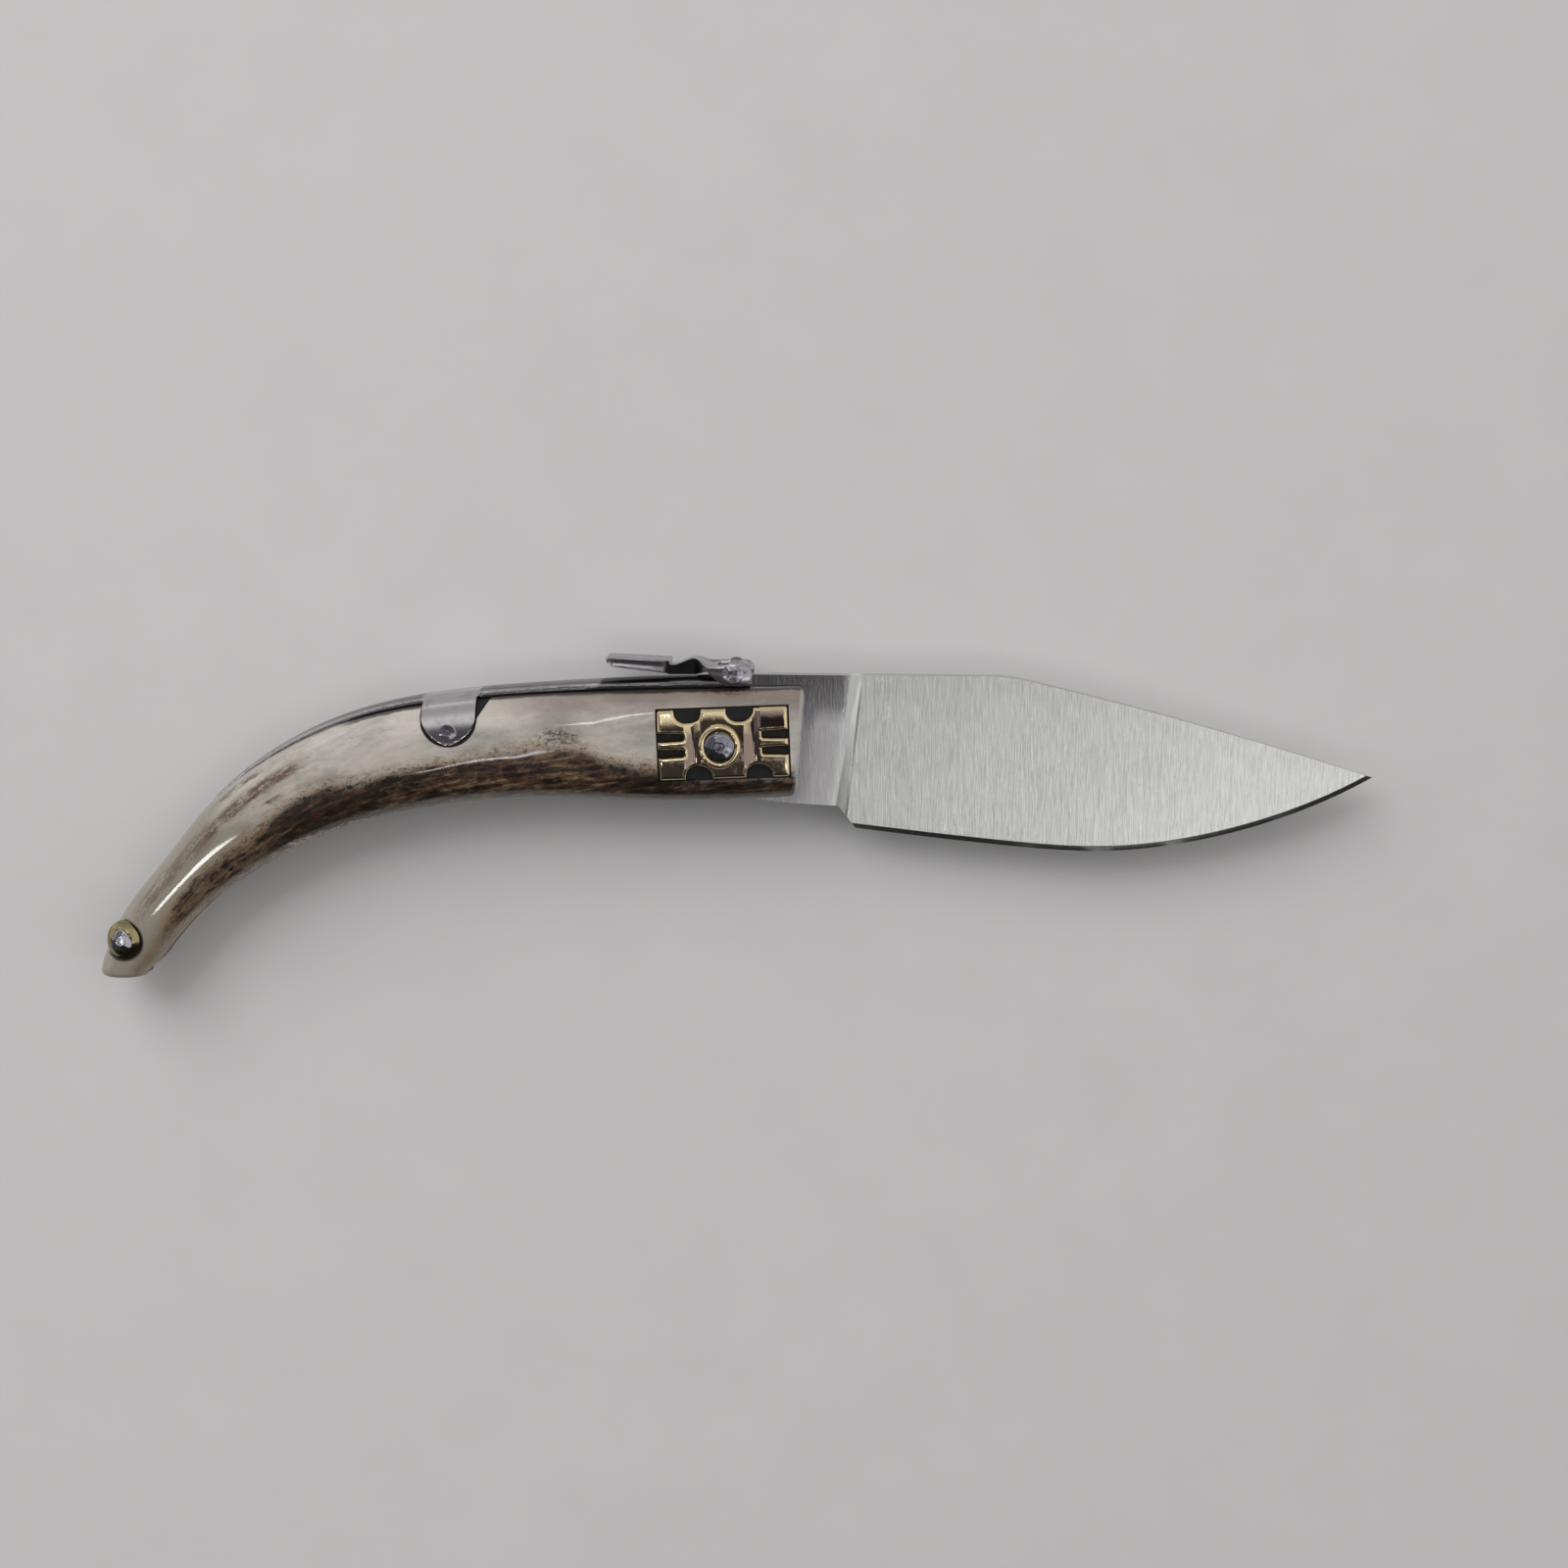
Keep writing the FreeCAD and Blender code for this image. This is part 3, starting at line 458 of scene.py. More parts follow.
class Shader:
    """A node tree under construction."""

    SPREAD = 3.2

    def __init__(self, owner: Any) -> None:
        """Start an empty tree.

        Args:
            owner: The material or the world that it belongs to.
        """
        owner.use_nodes = True
        self.owner, self.tree = owner, owner.node_tree
        self.tree.nodes.clear()

    @classmethod
    def named(cls, name: str) -> "Shader":
        """Start a new material."""
        return cls(bpy.data.materials.new(name))

    def node(self, kind: str, settings: Values = None, sockets: Values = None) -> bpy.types.Node:
        """Make one node.

        Args:
            kind: The node's type.
            settings: Its properties, set first.
            sockets: Values or signals for its inputs, by name or number.

        Returns:
            The node.
        """
        made = self.tree.nodes.new(kind)
        for key, value in (settings or {}).items():
            setattr(made, key, value)
        for key, value in (sockets or {}).items():
            if isinstance(value, Signal):
                self.tree.links.new(value.socket, made.inputs[key])
            else:
                made.inputs[key].default_value = value
        return made

    def signal(self, kind: str, settings: Values = None, sockets: Values = None,
               output: Union[int, str] = 0) -> Signal:
        """Make one node and wrap one of its outputs."""
        return Signal(self, self.node(kind, settings, sockets).outputs[output])

    def attribute(self, name: str) -> tuple[Signal, Signal, Signal]:
        """The three numbers of a vector that the mesh carries."""
        settings = {"attribute_name": name}
        return self.parts(self.signal("ShaderNodeAttribute", settings, output="Vector"))

    def place(self, output: str = "Object") -> Signal:
        """The point's place in its piece, in metres, or its normal there."""
        return self.signal("ShaderNodeTexCoord", output=output)

    def parts(self, vector: Signal) -> tuple[Signal, Signal, Signal]:
        """The three numbers of a vector."""
        node = self.node("ShaderNodeSeparateXYZ", sockets={0: vector})
        return tuple(Signal(self, output) for output in node.outputs)

    def vector(self, x: Any, y: Any, z: Any) -> Signal:
        """A vector of three numbers."""
        return self.signal("ShaderNodeCombineXYZ", sockets={0: x, 1: y, 2: z})

    def scaled(self, vector: Signal, scale: Sequence[float]) -> Signal:
        """A vector stretched along each axis."""
        sockets = {0: vector, 1: tuple(scale)}
        return self.signal("ShaderNodeVectorMath", {"operation": "MULTIPLY"}, sockets)

    def noise(self, vector: Signal, scale: Any, detail: float, rough: float,
              twist: float = 0.0) -> Signal:
        """Make smooth noise.

        Args:
            vector: Where it is read.
            scale: How fine it is, the same all round or along each axis.
            detail: Number of finer layers.
            rough: Their strength.
            twist: How far it is distorted.

        Returns:
            A signal from 0 to 1.
        """
        if not isinstance(scale, float):
            vector, scale = self.scaled(vector, scale), 1.0
        sockets = {"Vector": vector, "Scale": scale, "Detail": detail, "Roughness": rough,
                   "Distortion": twist}
        return self.signal("ShaderNodeTexNoise", None, sockets)

    def grit(self, vector: Signal, *kind: Any) -> Signal:
        """Noise about zero, spread to about -1 and 1."""
        return (self.noise(vector, *kind) - 0.5) * self.SPREAD

    def cells(self, vector: Signal, scale: float, feature: str = "F1") -> Signal:
        """Distance to the nearest of scattered cells, or to the edge between two."""
        sockets = {"Vector": vector, "Scale": scale}
        return self.signal("ShaderNodeTexVoronoi", {"feature": feature}, sockets, "Distance")

    def curve(self, factor: Signal, pairs: Sequence[Point]) -> Signal:
        """Read a number from a ramp.

        Args:
            factor: Where to read it.
            pairs: Places and values, both from 0 to 1.

        Returns:
            The value.
        """
        made = self.node("ShaderNodeValToRGB", sockets={0: factor})
        stops = made.color_ramp.elements
        for stop, (place, value) in ((stops[0], pairs[0]), (stops[-1], pairs[-1])):
            stop.position, stop.color = place, (value, value, value, 1.0)
        for place, value in pairs[1:-1]:
            stops.new(place).color = (value, value, value, 1.0)
        return self.signal("ShaderNodeRGBToBW", sockets={0: Signal(self, made.outputs[0])})

    def mix(self, first: Any, second: Any, factor: Any) -> Signal:
        """Two colours mixed by a factor."""
        settings = {"data_type": "RGBA", "blend_type": "MIX", "clamp_factor": True}
        return self.signal("ShaderNodeMix", settings, {0: factor, 6: first, 7: second}, 2)

    def bump(self, height: Signal, strength: float, distance: float) -> Signal:
        """A normal tilted by a height in metres times the distance."""
        sockets = {"Strength": strength, "Distance": distance, "Height": height}
        return self.signal("ShaderNodeBump", None, sockets)

    def finish(self, **sockets: Any) -> Finish:
        """Add the surface shader and the output.

        Args:
            sockets: Inputs of the surface shader, with an underscore for each space of a name.

        Returns:
            The material.
        """
        named = {name.replace("_", " "): value for name, value in sockets.items()}
        surface = self.signal("ShaderNodeBsdfPrincipled", None, named)
        self.node("ShaderNodeOutputMaterial", None, {"Surface": surface})
        return self.owner


def tone(*display: float) -> Colour:
    """A display colour, from 0 to 255, as the linear colour of a shader."""
    red, green, blue = ((value / 255 / 12.92) if value < 10.3
                        else ((value / 255 + 0.055) / 1.055) ** 2.4 for value in display)
    return (red, green, blue, 1.0)


@dataclass(frozen=True)
class Streak:
    """One brown streak of the antler, placed in shares of its height and length."""

    level: float
    width: Point
    start: Point
    end: Point
    lean: float = 0.0
    strength: float = 1.0


@dataclass
class AntlerGrain:
    """What the antler's finish is worked out from at each point."""

    s: Shader
    share: Signal
    level: Signal
    drift: Signal
    fray: Signal
    speck: Signal
    fibre: Signal


@dataclass(frozen=True)
class AntlerFinish:
    """Polished stag antler: pale core, brown bark along the belly, streaks towards the butt."""

    pale: Colour = tone(187, 180, 172)
    cool: Colour = tone(150, 147, 141)
    rosy: Colour = tone(118, 105, 98)
    aged: Colour = tone(131, 125, 111)
    black: Colour = tone(19, 14, 12)
    dark: Colour = tone(42, 31, 25)
    bark: Colour = tone(76, 55, 41)
    tan: Colour = tone(132, 111, 86)
    ochre: Colour = tone(136, 111, 74)
    russet: Colour = tone(80, 57, 42)
    # pale colour of the painted highlight along the nose's front edge
    nose_highlight: Colour = tone(208, 200, 188)
    # dark colour of the painted shade round the washers and along the spring's seat
    painted_shade: Colour = tone(30, 26, 25)
    length: float = 125.1
    washer: Point = (-98.9, -32.8)
    # reach of the painted shadow round each washer
    washer_shade_reach: Point = (3.75, 3.4)
    half_height: float = 8.5
    half_thickness: float = 6.0
    slant: float = 0.12
    drift: tuple = ((0.09, 0.20, 0.16), 3.0, 0.55, 0.4)
    fray: tuple = ((0.42, 0.95, 0.80), 5.0, 0.68, 0.3)
    speck: tuple = ((1.9, 2.9, 2.6), 4.0, 0.7)
    fibre: tuple = ((0.16, 1.7, 1.3), 5.0, 0.65, 0.5)
    pore_scale: Corner = (1.1, 1.7, 1.6)
    patch: Point = (0.30, 0.60)
    patch_size: Point = (0.031, 0.095)
    top_edge: tuple = (
        (0.0, 0.225), (0.15, 0.23), (0.17, 0.29), (0.22, 0.33), (0.25, 0.385), (0.27, 0.46),
        (0.31, 0.485), (0.36, 0.45), (0.40, 0.425), (0.45, 0.395), (0.50, 0.375), (0.57, 0.395),
        (0.60, 0.455), (0.64, 0.455), (0.67, 0.42), (0.71, 0.385), (0.82, 0.375), (0.87, 0.355),
        (0.90, 0.31), (0.94, 0.20))
    low_edge: tuple = (
        (0.0, 0.0), (0.38, 0.0), (0.5, 0.05), (0.6, 0.09), (0.7, 0.13), (0.8, 0.14), (0.9, 0.18),
        (0.95, 0.24))
    tan_share: tuple = (
        (0.0, 0.12), (0.15, 0.15), (0.22, 0.32), (0.28, 0.50), (0.5, 0.50), (0.56, 0.34),
        (0.6, 0.10), (0.7, 0.16), (0.74, 0.48), (0.9, 0.62), (1.0, 0.65))
    streak_rows: tuple = (
        Streak(1.075, (0.085, 0.03), (0.61, 0.65), (0.81, 0.77), lean=0.45),
        Streak(0.75, (0.17, 0.05), (0.74, 0.79), (0.96, 0.88), strength=0.75),
        Streak(0.905, (0.04, 0.01), (0.67, 0.69), (0.76, 0.73)),
        Streak(0.58, (0.035, 0.01), (0.66, 0.675), (0.70, 0.685)))

    def material(self) -> Finish:
        """Build the material from the handle's own lengthwise and upward measures.

        Returns:
            The material.
        """
        s = Shader.named("polished_antler")
        along, rise, out = s.attribute("grain")
        up, aside = rise * self.half_height, out * self.half_thickness
        place = s.vector(along, up, aside)
        slanted = s.vector(along, up + along * self.slant, aside)
        g = AntlerGrain(s, along / self.length, rise * 0.5 + 0.5, s.grit(place, *self.drift),
                        s.grit(place, *self.fray), s.grit(place, *self.speck),
                        s.grit(slanted, *self.fibre))
        band = self.band(g)
        pores = s.cells(s.scaled(place, self.pore_scale), 1.0).step(0.17, 0.06)
        pores = pores * g.drift.step(-0.4, 0.4)
        facing, _, _ = s.parts(s.place("Normal"))
        # painted highlight: a pale line on the nose's front edge, where it faces forward
        nose_highlight = facing.step(0.4, 0.85) * g.share.step(0.004, 0.001) * (1 - band) * 0.6
        colour = self.core(g)
        for layer, cover in ((self.bark, self.freckles_and_knuckle_shade(g)), (self.bark_colour(g), band),
                             (self.russet, self.streaks(g)), (self.dark, pores * 0.45),
                             (self.nose_highlight, nose_highlight), (self.painted_shade, self.seat_shade(g, out))):
            colour = s.mix(colour, layer, cover)
        rough = 0.36 + band * 0.12 + g.fray * 0.03
        height = g.speck * 0.15 + g.fray * 0.2 - pores * 0.8 - band * (g.fray + 1.0) * 0.3
        return s.finish(Base_Color=colour, Roughness=rough, Coat_Weight=0.9, Coat_Roughness=0.05,
                        Coat_IOR=1.5, Specular_IOR_Level=0.3, Normal=s.bump(height, 0.22, 0.00025))

    def above(self, g: AntlerGrain) -> Signal:
        """How far a point lies above the bark's upper edge."""
        return g.level - g.s.curve(g.share, self.top_edge)

    def band(self, g: AntlerGrain) -> Signal:
        """Find where the bark is left on.

        Args:
            g: The antler's grain.

        Returns:
            A signal from 0 to 1.
        """
        ragged = g.drift * 0.06 + g.fray * 0.10 + g.speck * 0.06
        upper = (self.above(g) + ragged).step(0.055, -0.045)
        lower = g.level - g.s.curve(g.share, self.low_edge) + 0.06 + ragged * 0.4
        thin = 1 - g.share.step(0.68, 0.78) * g.fray.step(-0.35, 0.45) * 0.6
        return upper * lower.step(-0.02, 0.03) * (g.share + g.fray * 0.02).step(0.95, 0.88) * thin

    def core(self, g: AntlerGrain) -> Signal:
        """Colour the scraped and polished core.

        Args:
            g: The antler's grain.

        Returns:
            The colour.
        """
        halo = (self.above(g) + g.fray * 0.05).step(0.20, 0.02) * g.share.step(0.12, 0.18)
        blotches = g.speck.step(0.1, 1.0) * 0.30 + g.fray.step(0.3, 1.1) * 0.18
        lower = g.share + g.fray * 0.05 + g.drift * 0.05
        colour: Any = self.pale
        for layer, cover in (
                (self.cool, (g.drift + g.fray * 0.5).step(-0.7, 0.8)),
                (self.rosy, (g.level + g.drift * 0.08).step(0.66, 0.94) * g.share.step(0.50, 0.22)),
                (self.aged, lower.step(0.55, 0.80) * 0.85),
                (self.cool, (g.fibre * 0.7 + g.speck * 0.5).step(0.0, 0.9) * 0.45),
                (self.tan, blotches),
                (self.ochre, halo * (g.fray + g.speck * 0.8).step(-0.6, 0.6) * 0.85)):
            colour = g.s.mix(colour, layer, cover)
        return colour

    def freckles_and_knuckle_shade(self, g: AntlerGrain) -> Signal:
        """Scatter brown dots above the bark and in one patch further up, and paint shade on the back near
        the nose, under the lever's knuckle.

        Args:
            g: The antler's grain.

        Returns:
            A signal from 0 to 1.
        """
        near = self.above(g).step(0.16, 0.0) * g.share.step(0.93, 0.85)
        dots = near * (g.speck + g.fray * 0.8 + near * 0.5).step(0.45, 0.85)
        across = (g.share - self.patch[0]) / self.patch_size[0]
        upward = (g.level - self.patch[1]) / self.patch_size[1]
        patch = (across * across + upward * upward).step(1.5, 0.1)
        patch = patch * (g.speck + g.fray * 0.6 + patch * 0.5).step(0.25, 0.7)
        # painted shade on the back near the nose, under the lever's knuckle
        knuckle_shade = (g.level + g.fray * 0.02).step(0.91, 0.96)
        knuckle_shade = knuckle_shade * g.share.step(0.035, 0.05) * g.share.step(0.14, 0.08)
        knuckle_shade = knuckle_shade * (g.speck * 0.7 + g.fray * 0.7).step(-0.3, 0.3)
        return (dots.most(patch).most(knuckle_shade) * 0.85).least(1.0)

    def bark_colour(self, g: AntlerGrain) -> Signal:
        """Colour the bark: nearly black furrows between brown and tan streaks.

        Args:
            g: The antler's grain.

        Returns:
            The colour.
        """
        mixed = g.fibre * 0.75 + g.fray * 0.75 + g.speck * 0.25 + g.drift * 0.35
        tan = g.s.curve(g.share, self.tan_share)
        colour = g.s.mix(self.black, self.dark, mixed.step(-0.5, 0.0))
        colour = g.s.mix(colour, self.bark, (mixed + tan * 0.8).step(0.15, 0.50))
        return g.s.mix(colour, self.tan, (mixed + tan * 0.9).step(0.55, 1.05) * 0.9)

    def streaks(self, g: AntlerGrain) -> Signal:
        """Draw thin brown streaks along the upper side towards the butt.

        Args:
            g: The antler's grain.

        Returns:
            A signal from 0 to 1.
        """
        wander = g.level + g.drift * 0.03 + g.fray * 0.02
        torn = (g.fibre * 0.6 + g.speck * 0.5 + g.fray * 0.5).step(-0.5, 0.2)
        drawn: Any = None
        for row in self.streak_rows:
            middle = abs(wander + g.share * row.lean - row.level).step(*row.width)
            line = middle * g.share.step(*row.start) * g.share.step(*row.end) * row.strength
            drawn = drawn.most(line) if drawn else line
        return (drawn * torn * 0.9).least(1.0)

    def seat_shade(self, g: AntlerGrain, out: Signal) -> Signal:
        """Paint shade round the butt's washers and along the spring's seat: a painted shadow round each
        washer's edge and in the gap under the spring.

        Args:
            g: The antler's grain.
            out: Share of the thickness.

        Returns:
            A signal from 0 to 1.
        """
        x, y, _ = g.s.parts(g.s.place())
        across, upward = x * PER_METRE - self.washer[0], y * PER_METRE - self.washer[1]
        apart = (across ** 2 + upward ** 2) ** 0.5
        # painted shadow round the washer's edge on the antler's sides
        ring = (apart + g.fray * 0.12).step(*self.washer_shade_reach) * abs(out).step(0.62, 0.78)
        # painted shadow of the gap under the spring, along the top of the antler
        spring_gap_shade = (g.level + g.fray * 0.008 + g.speck * 0.006).step(0.950, 0.964)
        return 1 - (1 - ring * 0.85) * (1 - spring_gap_shade * g.share.step(0.58, 0.55) * 0.9)


@dataclass(frozen=True)
class SatinSteelFinish:
    """Satin blade steel, brushed across the blade, with a smoother flat before the plunge, and painted sheen
    on the flat's lower part and along the plunge.
    """

    bright: Colour = tone(228, 229, 227)
    shade: Colour = tone(180, 180, 181)
    flat: Colour = tone(172, 170, 172)
    plunge: float = 18.7
    lean: float = math.tan(math.radians(6.8))
    # where the painted sheen on the flat starts
    sheen_from: float = 13.6
    sheen_lean: float = 0.29
    brush: tuple = ((6400.0, 300.0, 900.0), 3.0, 0.75)
    wide: tuple = ((2300.0, 130.0, 300.0), 3.0, 0.6)
    cloud: tuple = ((38.0, 52.0, 40.0), 3.0, 0.55)

    def material(self) -> Finish:
        """Build the material from the place on the blade.

        Returns:
            The material.
        """
        s = Shader.named("satin_blade_steel")
        place = s.place()
        x, y, _ = s.parts(place)
        x, y = x * PER_METRE, y * PER_METRE
        brush, wide, cloud = (s.noise(place, *kind) for kind in (self.brush, self.wide, self.cloud))
        past = x - y * self.lean - self.plunge
        ground = past.step(-0.8, 1.2)
        shine = (brush * 0.8 + wide * 0.2 + cloud * 0.3).step(0.30, 1.0)
        flat_shine = (brush * 0.8 + wide * 0.3).step(0.45, 0.85) * 0.7
        colour = s.mix(s.mix(self.flat, self.bright, flat_shine),
                       s.mix(self.shade, self.bright, shine), ground)
        rough = 0.055 + ground * 0.145 + wide * 0.04 + cloud * 0.03
        height = (brush * 0.8 + wide * 0.25) * (0.25 + ground * 0.75)
        lines = (brush - 0.5) * 3.0 + (wide - 0.5) * 2.0
        # painted sheen: the lower flat near the plunge loses metal, so its pale colour shows bright
        painted_sheen = (x - y * self.sheen_lean - self.sheen_from + lines * 0.5).step(-0.9, 1.2)
        painted_sheen = painted_sheen * (y + lines * 1.2).step(6.5, 2.5) * past.step(1.6, 0.6) * 0.7
        # and a painted bright band just past the plunge line
        metal = 1 - painted_sheen.most(abs(past - 1.7).step(1.3, 0.6) * 0.6)
        return s.finish(Base_Color=colour, Metallic=metal, Roughness=rough,
                        Normal=s.bump(height, 0.35, 0.00006))


@dataclass(frozen=True)
class PolishedSteelFinish:
    """Bright steel, filed and polished by hand."""

    name: str
    colour: Colour = tone(196, 193, 195)
    dull: Colour = tone(140, 136, 140)
    rough: float = 0.09
    dents: float = 0.35
    # dark colour of the painted shade
    scale: Colour = tone(14, 13, 15)
    shade_from: float = -19.5
    shade_to: float = 1.0
    shade_on_sides: bool = False
    wave: tuple = ((240.0, 330.0, 330.0), 2.0, 0.4)
    lines: tuple = ((500.0, 2600.0, 2600.0), 3.0, 0.7)
    smear: tuple = (420.0, 4.0, 0.6)

    def material(self) -> Finish:
        """Build the material with soft waves, file lines, dulled patches and painted shade on one stretch.

        Returns:
            The material.
        """
        s = Shader.named(self.name)
        place = s.place()
        wave, lines, smear = (s.noise(place, *kind) for kind in (self.wave, self.lines, self.smear))
        dull = smear.step(0.45, 0.8) * 0.6 + lines.step(0.6, 0.9) * 0.2
        # painted shade, and on the spring also its black scale
        black = self.scale_and_shade(s, place, smear)
        colour = s.mix(s.mix(self.colour, self.dull, dull), self.scale, black)
        rough = self.rough + smear * 0.07 + lines * 0.05 + black * 0.3
        return s.finish(Base_Color=colour, Metallic=1.0, Roughness=rough,
                        Normal=s.bump(wave * self.dents + lines * 0.02, 0.12, 0.0004))

    def scale_and_shade(self, s: Shader, place: Signal, smear: Signal) -> Signal:
        """Find where painted shade blackens one stretch, on its top or its sides, as on the spring's top
        under the lever and the sides of the lever's neck.

        Args:
            s: The shader.
            place: The point's place.
            smear: Noise that makes its ends uneven.

        Returns:
            A signal from 0 to 1.
        """
        _, up, out = s.parts(s.place("Normal"))
        along = s.parts(place)[0] * PER_METRE + smear
        facing = abs(out).step(0.3, 0.6) if self.shade_on_sides else up.step(0.55, 0.85)
        start = along.step(self.shade_from, self.shade_from + 1)
        return start * along.step(self.shade_to, self.shade_to - 1) * facing * 0.95


@dataclass(frozen=True)
class SpringFinish(PolishedSteelFinish):
    """Polished steel with ragged black scale left along the sides of the strip, painted shade on its top
    under the lever and a darker top elsewhere.
    """

    name: str = "spring_steel"
    ear_at: float = 43.6
    ragged: tuple = ((0.9, 2.6, 2.0), 4.0, 0.7)

    def scale_and_shade(self, s: Shader, place: Signal, smear: Signal) -> Signal:
        """Find painted shade on the top under the lever, a darkening of the top away from the ear, and the
        scale in rows along both sides.

        Args:
            s: The shader.
            place: The point's place.
            smear: Noise that makes its ends uneven.

        Returns:
            A signal from 0 to 1.
        """
        along, height, _ = s.attribute("strip")
        _, up, out = s.parts(s.place("Normal"))
        ragged = s.grit(s.scaled(place, (PER_METRE,) * 3), *self.ragged)
        row = abs(height - 0.95 + ragged * 0.12).step(0.30, 0.12)
        row = row * (ragged + 0.35).step(0.0, 0.35) * along.step(32.0, 36.0)
        foot = (height + ragged * 0.20 - along.step(36.0, 30.0) * 0.38).step(0.38, 0.26)
        stretch = along.step(8.0, 11.0) * along.step(75.0, 68.0)
        marks = row.most(foot) * abs(out).step(0.55, 0.8) * stretch
        clear = abs(s.parts(place)[0] * PER_METRE + self.ear_at).step(4.5, 4.8)
        # darkens the strip's top, away from the ear
        top = up.step(0.75, 0.92) * (0.62 + ragged * 0.12)
        # the base finish adds the painted shade on the top under the lever
        return super().scale_and_shade(s, place, smear).most(marks.most(top) * clear * 0.92)


@dataclass(frozen=True)
class HammeredFinish:
    """Rivet metal with the facets of a small hammer."""

    name: str
    colour: Colour
    shade: Colour
    rough: float
    scale: float
    fine: tuple = (2600.0, 3.0, 0.6)

    def material(self) -> Finish:
        """Build the material with facets and darker marks between them.

        Returns:
            The material.
        """
        s = Shader.named(self.name)
        place = s.place()
        facets, fine = s.cells(place, self.scale), s.noise(place, *self.fine)
        edge = s.cells(place, self.scale, "DISTANCE_TO_EDGE").step(0.06, 0.0)
        colour = s.mix(self.colour, self.shade, edge * 0.35 + fine.step(0.55, 0.85) * 0.3)
        return s.finish(Base_Color=colour, Metallic=1.0, Roughness=self.rough + fine * 0.10,
                        Normal=s.bump(facets + fine * 0.05, 0.18, 0.00035))


@dataclass(frozen=True)
class BrassFinish:
    """Pale polished brass, with a painted dark reflection over the plates' inner fields except at their
    upper left.
    """

    name: str
    scale: float
    colour: Colour = tone(222, 204, 166)
    shade: Colour = tone(118, 98, 70)
    # colour of the painted dark reflection
    dark_reflection: Colour = tone(128, 110, 108)
    lines: tuple = ((2400.0, 500.0, 900.0), 3.0, 0.7)
    stain: tuple = (900.0, 4.0, 0.65)

    def material(self) -> Finish:
        """Build the material with soft waves, file lines and the painted dark reflection.

        Returns:
            The material.
        """
        s = Shader.named(self.name)
        place = s.place()
        wave = s.noise(place, self.scale, 2.0, 0.45)
        lines, stain = s.noise(place, *self.lines), s.noise(place, *self.stain)
        colour = s.mix(self.colour, self.shade, stain.step(0.5, 0.85) * 0.35)
        # painted dark reflection: inside the plates' edges, over their lower and right parts
        depth, x, y = s.attribute("plate")
        dark = (y + stain - 0.5).step(3.2, 1.0).most((x + stain - 0.5).step(2.5, 5.0))
        dark = (depth + stain * 0.3 - 0.15).step(0.35, 0.75) * dark
        colour = s.mix(colour, self.dark_reflection, dark * 0.85)
        rough = 0.035 + stain * 0.05 + lines * 0.015
        return s.finish(Base_Color=colour, Metallic=1.0, Roughness=rough,
                        Normal=s.bump(wave + lines * 0.06, 0.06, 0.0004))


@dataclass(frozen=True)
class PitchFinish:
    """Black filler with a rough, slightly glossy surface."""

    colour: Colour = tone(13, 13, 15)
    dust: Colour = tone(40, 37, 34)
    crumbs: tuple = (2600.0, 4.0, 0.7)
    specks: tuple = (900.0, 3.0, 0.6)

    def material(self) -> Finish:
        """Build the material with crumbs and a little dust.

        Returns:
            The material.
        """
        s = Shader.named("black_filler")
        place = s.place()
        crumb, dust = s.noise(place, *self.crumbs), s.noise(place, *self.specks)
        colour = s.mix(self.colour, self.dust, dust.step(0.55, 0.8) * 0.5)
        return s.finish(Base_Color=colour, Roughness=0.5 + crumb * 0.3,
                        Normal=s.bump(crumb, 0.5, 0.0002))


@dataclass(frozen=True)
class FloorFinish:
    """Plain pale table top."""

    colour: Colour = tone(206, 205, 205)
    low: Colour = tone(200, 199, 199)
    mottle: tuple = (60.0, 3.0, 0.5)

    def material(self) -> Finish:
        """Build the material with a faint mottle.

        Returns:
            The material.
        """
        s = Shader.named("pale_floor")
        mottle = s.noise(s.place(), *self.mottle)
        colour = s.mix(self.colour, self.low, mottle)
        return s.finish(Base_Color=colour, Roughness=0.8 + mottle * 0.1)


